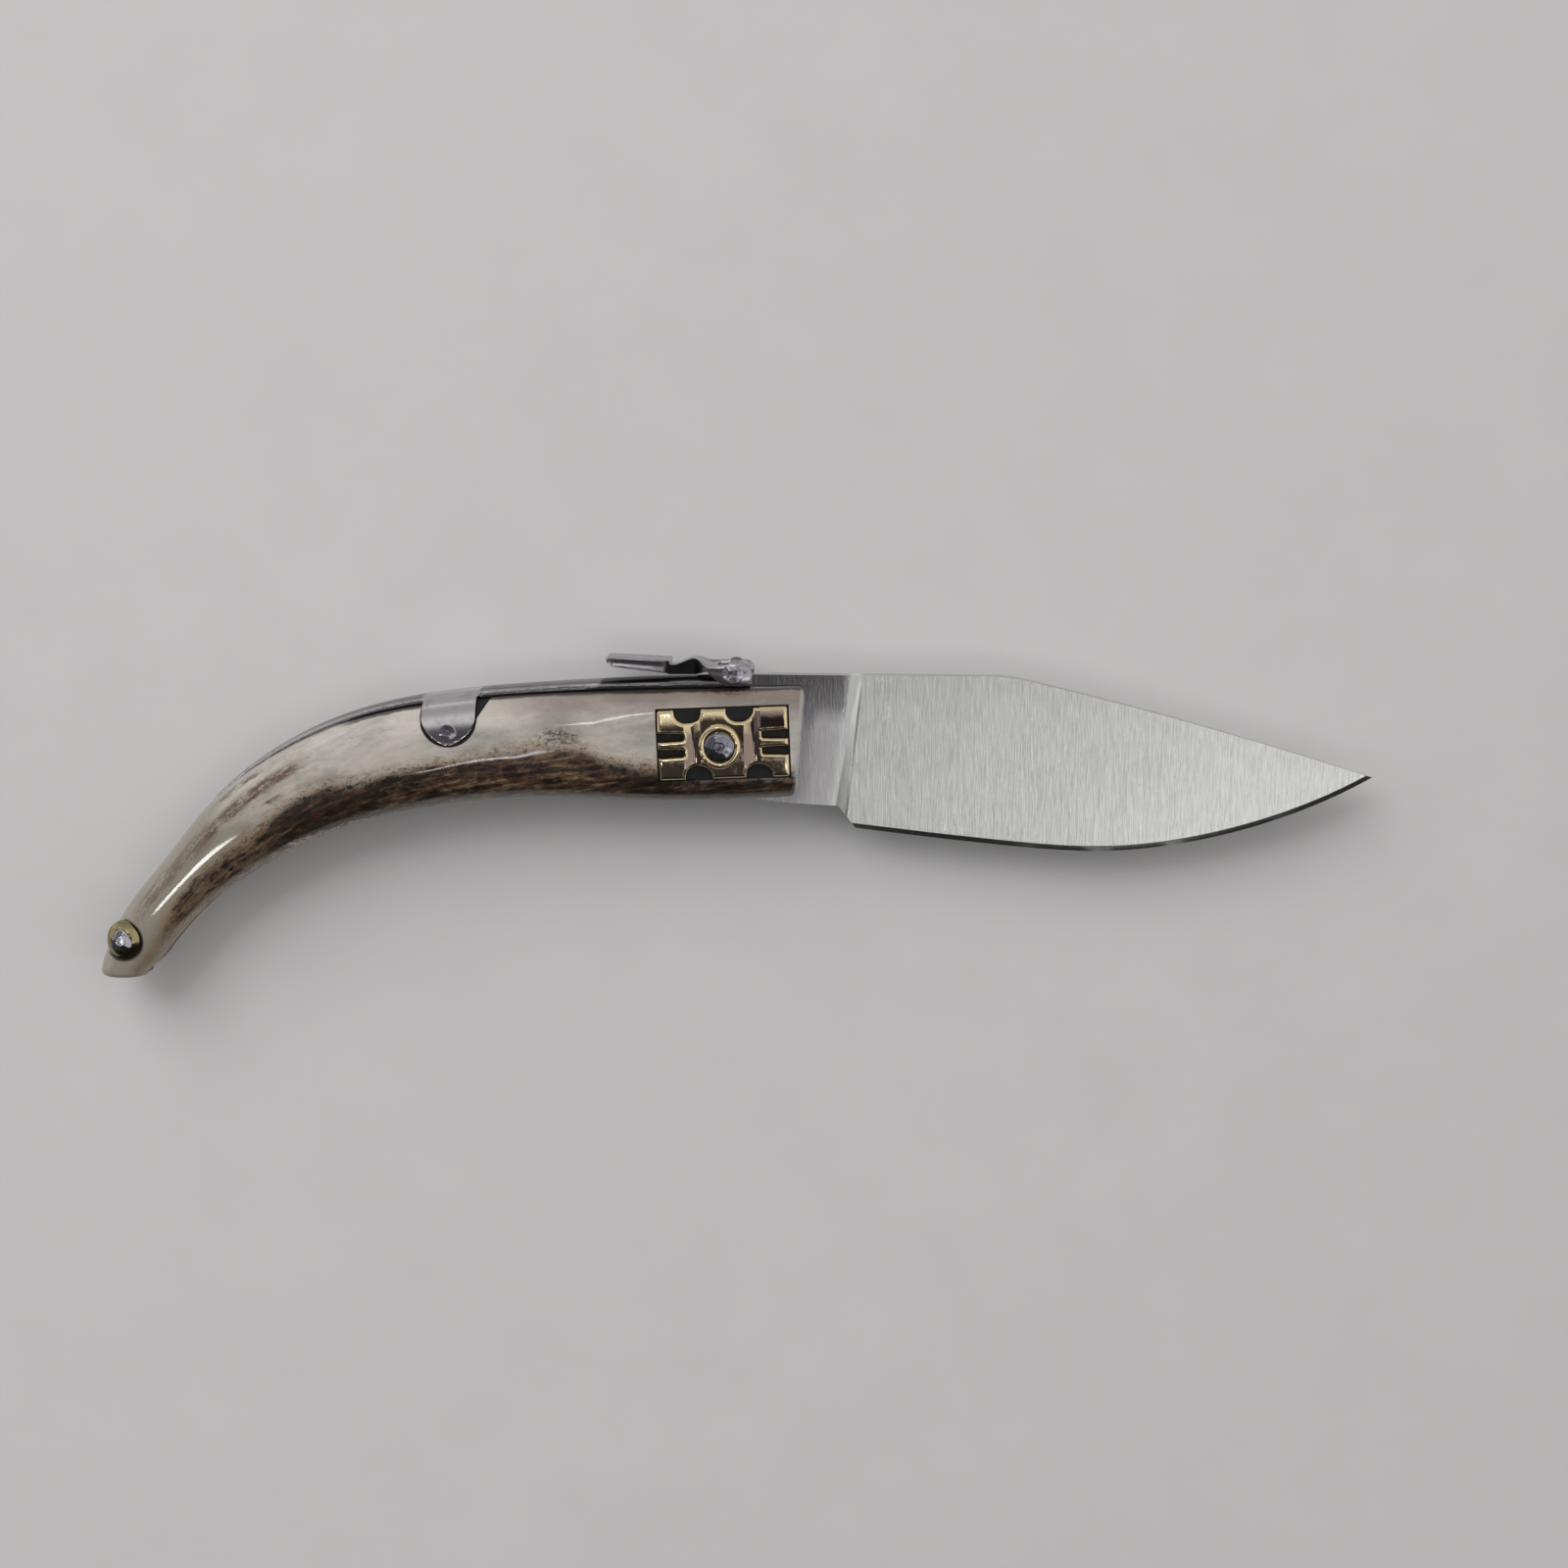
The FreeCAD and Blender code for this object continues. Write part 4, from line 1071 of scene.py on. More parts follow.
@dataclass
class AntlerForm:
    """The handle's curved form: sections along an axis, each a rounded square."""

    reach: float = 99.6
    drop: float = 39.4
    height: float = 18.8
    thickness: float = 14.0
    nose_length: float = 12.6
    nose_rise: float = 0.25
    nose_lean: float = 5.0
    nose_round: float = 0.9
    butt_round: float = 1.0
    reach_shares: tuple = (0.0, 0.14, 0.281, 0.422, 0.562, 0.683, 0.798, 0.889, 0.969, 1.0)
    drop_shares: tuple = (0.004, 0.008, 0.009, 0.033, 0.096, 0.208, 0.386, 0.596, 0.838, 1.0)
    height_shares: tuple = (0.984, 1.0, 0.989, 0.935, 0.915, 0.904, 0.84, 0.734, 0.57, 0.516, 0.45)
    thickness_shares: tuple = (0.87, 0.886, 0.93, 0.97, 1.0, 0.985, 0.93, 0.845, 0.745, 0.66, 0.59)
    squareness: tuple = (3.0, 3.0, 2.9, 2.8, 2.7, 2.6, 2.5, 2.4, 2.3, 2.3, 2.3)
    spring_stations: int = 8
    fine: int = 1600
    block: int = 4000
    crowding: float = 0.09

    def __post_init__(self) -> None:
        """Lay the axis and the sizes along it."""
        centres = [(self.nose_length - self.nose_round, self.nose_rise)]
        for reach, drop in zip(self.reach_shares, self.drop_shares):
            centres.append((-reach * self.reach, -drop * self.drop))
        centres[-1] = (centres[-1][0], centres[-1][1] + self.butt_round)
        self.axis = SmoothLine.through(centres)
        places = self.axis.places
        self.span = (places[0], places[-1])
        self.dense_at = np.linspace(*self.span, self.fine)
        self.dense = self.axis.at(self.dense_at)
        slope = np.gradient(self.dense, axis=0)
        heading = np.arctan2(-slope[:, 0], slope[:, 1])
        angle = np.interp(places, self.dense_at, np.unwrap(heading))
        angle[0] = math.radians(90 - self.nose_lean)
        angle[-1] = math.radians(180)
        halves = (np.array(self.height_shares) * self.height / 2,
                  np.array(self.thickness_shares) * self.thickness / 2)
        self.sizes = SmoothLine(places, np.column_stack([angle, *halves, self.squareness]))
        self.dense_sizes = self.sizes.at(self.dense_at)
        self.spring_end = self.sizes.places[self.spring_stations - 1]

    def stations(self, places: Any) -> tuple[np.ndarray, np.ndarray, np.ndarray]:
        """Read the form at places along its axis.

        Args:
            places: The places.

        Returns:
            The centres, the directions to the back, and the sizes.
        """
        sizes = self.sizes.at(places)
        to_back = np.column_stack([np.cos(sizes[:, 0]), np.sin(sizes[:, 0])])
        return self.axis.at(places), to_back, sizes

    def ring(self, centre: np.ndarray, to_back: np.ndarray, sizes: np.ndarray, grow: Point,
             count: int) -> np.ndarray:
        """Draw one rounded-square section.

        Args:
            centre: Middle of the section.
            to_back: Direction to the back.
            sizes: Its row of sizes.
            grow: How far it is grown in height and thickness.
            count: Number of points.

        Returns:
            Points round the section, from the back over the right side.
        """
        turn = (np.arange(count) + 0.5) * 2 * math.pi / count
        rise, out = rounded_square(turn - np.sin(4 * turn) * self.crowding, sizes[3])
        rise, out = rise * (sizes[1] + grow[0]), out * (sizes[2] + grow[1])
        return np.stack([centre[0] + to_back[0] * rise, centre[1] + to_back[1] * rise, out], axis=1)

    def local(self, x: np.ndarray, y: np.ndarray) -> tuple[np.ndarray, np.ndarray, np.ndarray]:
        """Find where points seen from the side lie along the handle and up its height.

        Args:
            x: Places along the knife.
            y: Heights.

        Returns:
            Distance from the nose, height above the axis, and the sizes at the nearest station.
        """
        flat = np.stack([np.ravel(x), np.ravel(y)], axis=1)
        nearest = np.empty(len(flat), int)
        for start in range(0, len(flat), self.block):
            rows = slice(start, start + self.block)
            gap = ((flat[rows, None, :] - self.dense[None, :, :]) ** 2).sum(axis=2)
            nearest[rows] = gap.argmin(axis=1)
        sizes = self.dense_sizes[nearest]
        offset = flat - self.dense[nearest]
        rise = offset[:, 0] * np.cos(sizes[:, 0]) + offset[:, 1] * np.sin(sizes[:, 0])
        return self.dense_at[nearest] - self.span[0], rise, sizes

    def tube(self, grow: Point, rows: int, columns: int) -> list[np.ndarray]:
        """Rings of the form from nose to butt, grown in height and thickness."""
        stations = zip(*self.stations(np.linspace(*self.span, rows)))
        return [self.ring(*station, grow, columns) for station in stations]

    def end(self, index: int, radius: float, columns: int) -> list[np.ndarray]:
        """Draw the rings of one softened end.

        Args:
            index: 0 for the nose, -1 for the butt.
            radius: How far the end is rounded.
            columns: Points in each ring.

        Returns:
            The rings, outwards.
        """
        centre, to_back, sizes = (rows[0] for rows in self.stations([self.span[index]]))
        outward = np.array([to_back[1], -to_back[0]]) * (1.0 if index == 0 else -1.0)
        rings = []
        for turn in np.linspace(0, math.pi / 2, 7)[1:]:
            shrink = -radius * (1 - math.cos(turn))
            middle = centre + outward * radius * math.sin(turn)
            rings.append(self.ring(middle, to_back, sizes, (shrink, shrink), columns))
        return rings


@dataclass
class BladeOutline:
    """The parts of the blade's outline that the handle's slot follows."""

    reach: float = 104.6
    tip_drop: float = 5.9
    edge_depth: float = 18.05
    heel: Point = (21.6, -14.4)
    ricasso: Point = (18.7, -10.5)
    kick: Point = (10.6, -10.0)
    along_shares: tuple = (0.129, 0.265, 0.49, 0.723, 0.919)
    depth_shares: tuple = (0.87, 0.939, 1.0, 0.842, 0.522)
    thickness: float = 2.8
    fold: float = 156.8

    def edge(self, count: int) -> np.ndarray:
        """Draw the cutting edge from the heel to the tip.

        Args:
            count: Number of points.

        Returns:
            The points.
        """
        start, length = self.heel[0], self.reach - self.heel[0]
        points = [self.heel]
        for along, depth in zip(self.along_shares, self.depth_shares):
            points.append((start + along * length, -depth * self.edge_depth))
        points.append((self.reach, -self.tip_drop))
        line = SmoothLine.through(points)
        return line.at(np.linspace(0.0, line.places[-1], count))


@dataclass
class Handle:
    """The antler handle with everything that is sawn and let into it."""

    form: AntlerForm
    blade: BladeOutline
    slot_clearance: float = 0.12
    end_gap: float = 0.5
    tip_swing: float = 14.0
    fork: Point = (30.0, 20.0)
    seat: float = 0.4
    seat_height: float = 6.0
    seat_lead: Corner = (4.0, -0.3, 0.0)
    spring_width: float = 6.0
    tail_width: float = 2.6
    rows: int = 250
    columns: int = 120
    corner_round: float = 1.7
    wave: float = 0.07
    wave_scale: Corner = (0.09, 1.3, 1.1)
    wave_from: float = 27.0
    wave_fade: float = 6.0
    trim: float = 0.05

    def build(self, plate: "BolsterPlate", spring: "BackSpring", butt: "ButtRivet",
              antler: Finish) -> None:
        """Make the handle, cut it and dress it.

        Args:
            plate: The plates whose recesses are cut.
            spring: The spring whose ears are let in.
            butt: The rivet whose washers' flats are cut.
            antler: The handle's finish.
        """
        nose = self.form.end(0, self.form.nose_round, self.columns)[::-1]
        butt_end = self.form.end(-1, self.form.butt_round, self.columns)
        rings = nose + self.form.tube((0.0, 0.0), self.rows, self.columns) + butt_end
        made = sweep("antler_handle", self.carved(np.asarray(rings)))
        cutters = self.slot() + [self.spring_seat(), self.nose_corner(), spring.ear_room()]
        carve(made, cutters + plate.recesses() + butt.flats())
        points = points_of(made)
        along, rise, sizes = self.form.local(points[:, 0], points[:, 1])
        store(made, "grain", [along, rise / sizes[:, 1], points[:, 2] / sizes[:, 2]])
        dress(made, Body.HANDLE, Slot.ANTLER, antler, "handle")

    def carved(self, rings: np.ndarray) -> np.ndarray:
        """Give the form the uneven surface and the low ridges of a scraped tine.

        Args:
            rings: The form's rings.

        Returns:
            The rings, moved.
        """
        points = rings.reshape(-1, 3).copy()
        along, rise, sizes = self.form.local(points[:, 0], points[:, 1])
        level = rise / sizes[:, 1]
        spots = np.column_stack([along, level, points[:, 2] / sizes[:, 2]]) * self.wave_scale
        uneven = np.array([0.5 + 0.5 * noise.noise(Vector(spot)) for spot in spots])
        change = -self.wave * uneven * np.clip((along - self.wave_from) / self.wave_fade, 0, 1)
        points[:, 2] *= 1 + change / sizes[:, 2]
        points[:, 0] -= np.cos(sizes[:, 0]) * level * self.trim
        points[:, 1] -= np.sin(sizes[:, 0]) * level * self.trim
        return points.reshape(rings.shape)

    def slot(self) -> list[Thing]:
        """Make the cutters of the sawn slot, the round tang room and the open fork at the nose.

        Returns:
            The cutters.
        """
        half = self.blade.thickness / 2 + self.slot_clearance
        floor = turned(self.blade.edge(40), -self.blade.fold)
        corners = turned([self.blade.kick, self.blade.ricasso], -self.blade.fold)
        reach = np.linalg.norm(floor[-1]) + self.end_gap
        start = math.degrees(math.atan2(floor[-1][1], floor[-1][0]))
        swing = [turned((reach, 0.0), start + turn) for turn in np.linspace(0, self.tip_swing, 8)]
        outline = [(0.0, 0.0), *corners, *floor, *swing, (0.0, -self.form.drop)]
        kick = math.hypot(*self.blade.kick) + self.end_gap
        long, high = self.fork
        fork = [(0.0, -high), (long, -high), (long, high), (0.0, high)]
        return [prism("slot", outline, -half, half),
                lathe("tang_room", [(kick, -half), (kick, half)], steps=96),
                prism("fork", fork, -half, half)]

    def spring_seat(self) -> Thing:
        """Make the cutter of the flat filed along the back under the spring.

        Returns:
            The cutter.
        """
        places = np.linspace(self.form.span[0], self.form.spring_end, 90)
        centre, to_back, sizes = self.form.stations(places)
        half = sizes[:, 1][:, None]
        lows = centre + to_back * (half - self.seat)
        highs = centre + to_back * (half + self.seat_height)
        tail = (centre + to_back * half)[-1, 0]
        rings = []
        for low, high in zip(lows, highs):
            wide = tapered(low[0], tail, self.spring_width, self.tail_width)
            rings.append([(*low, -wide), (*high, -wide), (*high, wide), (*low, wide)])
        lead = np.asarray(rings[0]) + self.seat_lead
        return sweep("spring_seat", [lead] + rings)

    def nose_corner(self) -> Thing:
        """Make the cutter that rounds the upper corner of the nose.

        Returns:
            The cutter.
        """
        centre, back, sizes = (rows[0] for rows in self.form.stations([self.form.span[0]]))
        outward = np.array([back[1], -back[0]])
        corner = centre + back * (sizes[1] - self.trim) + outward * self.form.nose_round
        up, out = back * self.corner_round, outward * self.corner_round
        outline = [corner + up + out, corner + up - out]
        for turn in np.linspace(math.pi / 2, 0, 14):
            outline.append(corner - up - out + out * math.cos(turn) + up * math.sin(turn))
        outline.append(corner + out - up)
        return prism("nose_corner", outline, -CUT_REACH, CUT_REACH)


class FlatOutline:
    """A closed outline in a plane."""

    NEAR = 0.02
    TINY = 1e-12
    FAR = 1e9
    STEPS = 7

    def __init__(self, points: Any) -> None:
        """Take the outline's points in their order."""
        self.points = np.asarray(points, float)
        self.sides = list(zip(self.points, np.roll(self.points, -1, axis=0)))

    @classmethod
    def filleted(cls, corners: Sequence[Corner]) -> "FlatOutline":
        """Round each corner of an outline.

        Args:
            corners: Places of the corners, each with its radius.

        Returns:
            The rounded outline.
        """
        rounded = []
        for index, (x, y, radius) in enumerate(corners):
            here = np.array([x, y])
            before = np.array(corners[index - 1][:2]) - here
            after = np.array(corners[(index + 1) % len(corners)][:2]) - here
            before /= np.linalg.norm(before)
            after /= np.linalg.norm(after)
            opening = math.acos(np.clip(before @ after, -1, 1))
            run = radius / math.tan(opening / 2)
            inward = (before + after) / np.linalg.norm(before + after)
            middle = here + inward * radius / math.sin(opening / 2)
            first, last = here + before * run - middle, here + after * run - middle
            swing = math.atan2(first[0] * last[1] - first[1] * last[0], first @ last)
            for turn in np.linspace(0, math.degrees(swing), cls.STEPS):
                rounded.append(middle + turned(first, turn))
        return cls(rounded)

    def distance(self, points: np.ndarray) -> np.ndarray:
        """Measure the distance of points from the outline.

        Args:
            points: The points.

        Returns:
            The distances.
        """
        best = np.full(len(points), self.FAR)
        for first, last in self.sides:
            along = last - first
            share = np.clip(((points - first) @ along) / max(along @ along, self.TINY), 0, 1)
            gap = np.linalg.norm(points - first - share[:, None] * along, axis=1)
            best = np.minimum(best, gap)
        return best

    def inside(self, points: np.ndarray) -> np.ndarray:
        """Find which points lie inside the outline.

        Args:
            points: The points.

        Returns:
            Whether each of them does.
        """
        hit = np.zeros(len(points), bool)
        for first, last in self.sides:
            between = (first[1] > points[:, 1]) != (last[1] > points[:, 1])
            rise = last[1] - first[1] if abs(last[1] - first[1]) > self.TINY else self.TINY
            crossing = first[0] + (points[:, 1] - first[1]) / rise * (last[0] - first[0])
            hit ^= between & (points[:, 0] < crossing)
        return hit

    def dense(self, step: float) -> "FlatOutline":
        """Add points along the outline and drop those that nearly meet.

        Args:
            step: The longest distance between two points.

        Returns:
            The denser outline.
        """
        kept = []
        for first, last in self.sides:
            count = max(1, int(math.ceil(np.linalg.norm(last - first) / step)))
            for share in np.arange(count) / count:
                point = first + (last - first) * share
                if not kept or np.linalg.norm(point - kept[-1]) > self.NEAR:
                    kept.append(point)
        return FlatOutline(kept)


@dataclass
class BolsterPlate:
    """A pierced brass plate let into each side at the pivot."""

    form: AntlerForm
    length: float = 21.0
    height: float = 11.4
    centre: Point = (0.55, 0.4)
    tilt: float = 2.0
    proud: float = 0.5
    back: float = 5.25
    bedding: float = 0.25
    margin: float = 0.2
    corner: float = 0.45
    notch: Point = (4.1, 2.1)
    notch_lip: float = 0.25
    notch_corner: float = 1.7
    top_notches: Point = (-5.565, 2.772)
    bottom_notches: Point = (-4.053, 5.67)
    slot_length: float = 4.2
    slot_height: float = 1.3
    slot_pitch: float = 2.6
    slot_corner: float = 0.22
    slot_taper: Point = (0.7, 0.8)
    flute_radius: float = 1.8
    flute_depth: float = 0.448
    flute_spacing: float = 9.6
    edge_round: float = 0.62
    corner_bevel: float = 0.06
    bevel_from: Point = (-5.6, 1.9)
    bevel_fade: float = 0.6
    edge_step: float = 0.3
    face_step: float = 0.15
    face_margin: float = 0.06
    merge: float = 1e-6

    def turn(self, points: Any) -> np.ndarray:
        """Points drawn about the plate's centre, tilted and moved to their place."""
        return turned(points, self.tilt) + self.centre

    def recesses(self) -> list[Thing]:
        """Make the cutters of the recesses in both sides of the handle.

        Returns:
            The cutters.
        """
        wide, high = self.length / 2 + self.margin, self.height / 2 + self.margin
        outline = self.turn([(-wide, -high), (wide, -high), (wide, high), (-wide, high)])
        floor = self.back - self.bedding
        return [prism(f"{side}_recess", outline, *sorted((floor * sign, CUT_REACH * sign)))
                for side, sign in SIDES]

    def outline(self) -> FlatOutline:
        """Draw the plate's outline, counter-clockwise, with notches and finger slots.

        Returns:
            The outline about the plate's centre.
        """
        corners: list[Corner] = []
        for sign, notches in ((1.0, self.bottom_notches), (-1.0, self.top_notches[::-1])):
            wide, high = self.length / 2 * sign, -self.height / 2 * sign
            corners.append((-wide, high, self.corner))
            half, floor = self.notch[0] / 2 * sign, high + self.notch[1] * sign
            for x in notches:
                corners += [(x - half, high, self.notch_lip), (x - half, floor, self.notch_corner),
                            (x + half, floor, self.notch_corner), (x + half, high, self.notch_lip)]
            corners.append((wide, high, self.corner))
            half, floor = self.slot_height / 2 * sign, wide - self.slot_length * sign
            below, above = (half * share for share in self.slot_taper)
            for y in (-self.slot_pitch / 2 * sign, self.slot_pitch / 2 * sign):
                corners += [(x, y + rise, self.slot_corner) for x, rise in
                            ((wide, -half), (floor, -below), (floor, above), (wide, half))]
        return FlatOutline.filleted(corners)

    def top(self, flat: np.ndarray, depth: np.ndarray) -> np.ndarray:
        """Shape the plate's face, fluted and rounded towards its edges.

        Args:
            flat: Points about the plate's centre.
            depth: Their distance from the outline.

        Returns:
            Heights above the mid-plane.
        """
        _, rise, sizes = self.form.local(*self.turn(flat).T)
        share = np.clip(np.abs(rise) / (sizes[:, 1] + self.proud), 0, 1)
        face = (1 - share ** sizes[:, 3]) ** (1 / sizes[:, 3]) * (sizes[:, 2] + self.proud)
        for direction in (-1.0, 1.0):
            gap = np.abs(flat[:, 0] - direction * self.flute_spacing / 2)
            face -= np.clip(self.flute_depth - gap ** 2 / (2 * self.flute_radius), 0, None)
        corner = np.clip((self.bevel_from[0] - flat[:, 0]) / self.bevel_fade, 0, 1)
        face -= self.corner_bevel * corner * np.clip(flat[:, 1] - self.bevel_from[1], 0, None)
        inner = np.clip(self.edge_round - depth, 0, self.edge_round)
        face -= self.edge_round - np.sqrt(np.clip(self.edge_round ** 2 - inner ** 2, 0, None))
        return face

    def spread(self, outline: FlatOutline) -> tuple[np.ndarray, list[Any]]:
        """Spread points over the plate and join them by triangles.

        Args:
            outline: The plate's outline.

        Returns:
            The points about the plate's centre, and the triangles.
        """
        sizes = (self.length, self.height)
        steps = [np.arange(-size / 2, size / 2, self.face_step) for size in sizes]
        grid = np.stack(np.meshgrid(*steps), axis=-1).reshape(-1, 2)
        keep = outline.inside(grid) & (outline.distance(grid) > self.face_margin)
        count = len(outline.points)
        edges = [(index, (index + 1) % count) for index in range(count)]
        points = [Vector(point) for point in np.vstack([outline.points, grid[keep]])]
        flat, _, faces, _, _, _ = delaunay_2d_cdt(points, edges, [], 1, self.merge)
        return np.asarray([tuple(point) for point in flat]), [tuple(face) for face in faces]

    def build(self, brass: Finish) -> None:
        """Make and dress both plates.

        Args:
            brass: Their finish.
        """
        outline = self.outline().dense(self.edge_step)
        flat, faces = self.spread(outline)
        height = self.top(flat, outline.distance(flat))
        count, total = len(flat), len(outline.points)
        matched = [int(np.argmin(((flat - p) ** 2).sum(axis=1))) for p in outline.points]
        for index in range(total):
            after = (index + 1) % total
            faces.append((matched[index], matched[after], count + after, count + index))
        faces.append(tuple(range(count, count + total)))
        for side, sign in SIDES:
            face = np.column_stack([self.turn(flat), height * sign])
            foot = np.column_stack([self.turn(outline.points), np.full(total, self.back * sign)])
            made = make_mesh(f"{side}_plate", np.vstack([face, foot]), faces)
            spots = turned(points_of(made)[:, :2] - self.centre, -self.tilt)
            store(made, "plate", [outline.distance(spots), spots])
            dress(made, Body.HANDLE, Slot.BRASS, brass, f"{side}_bolster_plate")


@dataclass
class Rivet:
    """A rivet across the knife, its heads struck flat here and there by a small hammer."""

    name: str
    place: Point
    radius: float
    dome: float
    seed: int
    facets: int
    low: float
    high: float
    shank: float
    reach: float
    shape: Point = (1.0, 1.0)
    point: float = 0.0
    around: int = 64
    rings: int = 18
    edge_drop: float = 0.12
    deepest: float = 0.97
    sharp: float = 18.0

    def drop(self, x: np.ndarray, y: np.ndarray, seed: int) -> np.ndarray:
        """Measure how far the struck surface lies below the crown.

        Args:
            x: Places across the head, as shares of its radius.
            y: Places up the head, as shares of its radius.
            seed: Seed of the blows.

        Returns:
            Depths as shares of the dome's height.
        """
        chance = np.random.default_rng(seed)
        depth = np.zeros_like(x)
        turns = np.linspace(0, 2 * math.pi, self.facets, endpoint=False)
        for turn in turns + chance.uniform(-0.2, 0.2, self.facets):
            start = chance.uniform(0.25, 0.55)
            steep = chance.uniform(0.8, 1.3)
            blow = (x * math.cos(turn) + y * math.sin(turn) - start) * steep
            depth = np.maximum(depth, blow)
        return depth

    def head(self, sign: float, seed: int) -> Thing:
        """Make one head.

        Args:
            sign: 1 for the right side, -1 for the left.
            seed: Seed of the blows.

        Returns:
            The head.
        """
        turn = np.linspace(0, 2 * math.pi, self.around, endpoint=False)
        outline = 1 + self.point * np.cos(3 * (turn - math.pi / 2))
        x, y = np.cos(turn) * outline, np.sin(turn) * outline
        rings = [(x, y, np.full(self.around, self.low))]
        for share in np.linspace(1.0, 0.02, self.rings):
            edge = self.edge_drop * np.clip((share - 0.9) / 0.1, 0, 1) ** 2
            depth = np.clip(self.drop(x * share, y * share, seed) + edge, 0, self.deepest)
            rings.append((x * share, y * share, self.high - self.dome * depth))
        stretch = self.radius * np.array(self.shape)
        placed = [np.stack([self.place[0] + across * stretch[0], self.place[1] + up * stretch[1],
                            rise * sign], axis=1) for across, up, rise in rings]
        return sweep("head", placed, self.sharp)

    def build(self, body: Body, finish: Finish, node: str) -> None:
        """Make and dress the rivet from end to end.

        Args:
            body: The body that it rides on.
            finish: Its finish.
            node: The node that it replaces.
        """
        parts = [self.head(sign, self.seed + index) for index, (_, sign) in enumerate(SIDES)]
        shank = [(self.shank, -self.reach), (self.shank, self.reach)]
        parts.append(lathe("shank", shank, self.place))
        dress(join(self.name, parts), body, Slot.RIVET, finish, node)


def foot_of(node: str) -> float:
    """Height of a node's foot above the mid-plane, in millimetres."""
    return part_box(node)[0][2] / MM - MID / MM


@dataclass
class PivotRivet:
    """The pivot rivet with its two brass rings."""

    ring_outer: float = 3.5
    ring_inner: float = 2.35
    ring_height: float = 0.95
    ring_wall: float = 0.35
    ring_squeeze: Point = (0.985, 1.03)
    head_radius: float = 2.3
    head_dome: float = 0.62
    seed: int = 11
    facets: int = 9

    def build(self, brass: Finish, steel: Finish) -> None:
        """Make and dress the rings and the rivet.

        Args:
            brass: Finish of the rings.
            steel: Finish of the rivet.
        """
        seat = foot_of("right_pivot_ring")
        middle = (self.ring_outer + self.ring_inner) / 2
        half = (self.ring_outer - self.ring_inner) / 2
        outer = self.ring_outer
        profile = [(self.ring_inner, 0.0), (outer, 0.0), (outer, self.ring_wall)]
        for turn in np.linspace(0.1, math.pi - 0.1, 12):
            rise = self.ring_wall + (1 - self.ring_wall) * math.sin(turn)
            profile.append((middle + half * math.cos(turn), rise))
        for side, sign in SIDES:
            placed = [(radius, (seat + self.ring_height * rise) * sign) for radius, rise in profile]
            ring = lathe(f"{side}_ring", placed, steps=96, squeeze=self.ring_squeeze)
            dress(ring, Body.HANDLE, Slot.BRASS, brass, f"{side}_pivot_ring")
        top = MID / MM
        rivet = Rivet("pivot_rivet", (0.0, 0.0), self.head_radius, self.head_dome, self.seed,
                      self.facets, top * 0.9, top, self.head_radius, top * 0.92)
        rivet.build(Body.HANDLE, steel, "pivot_pin")


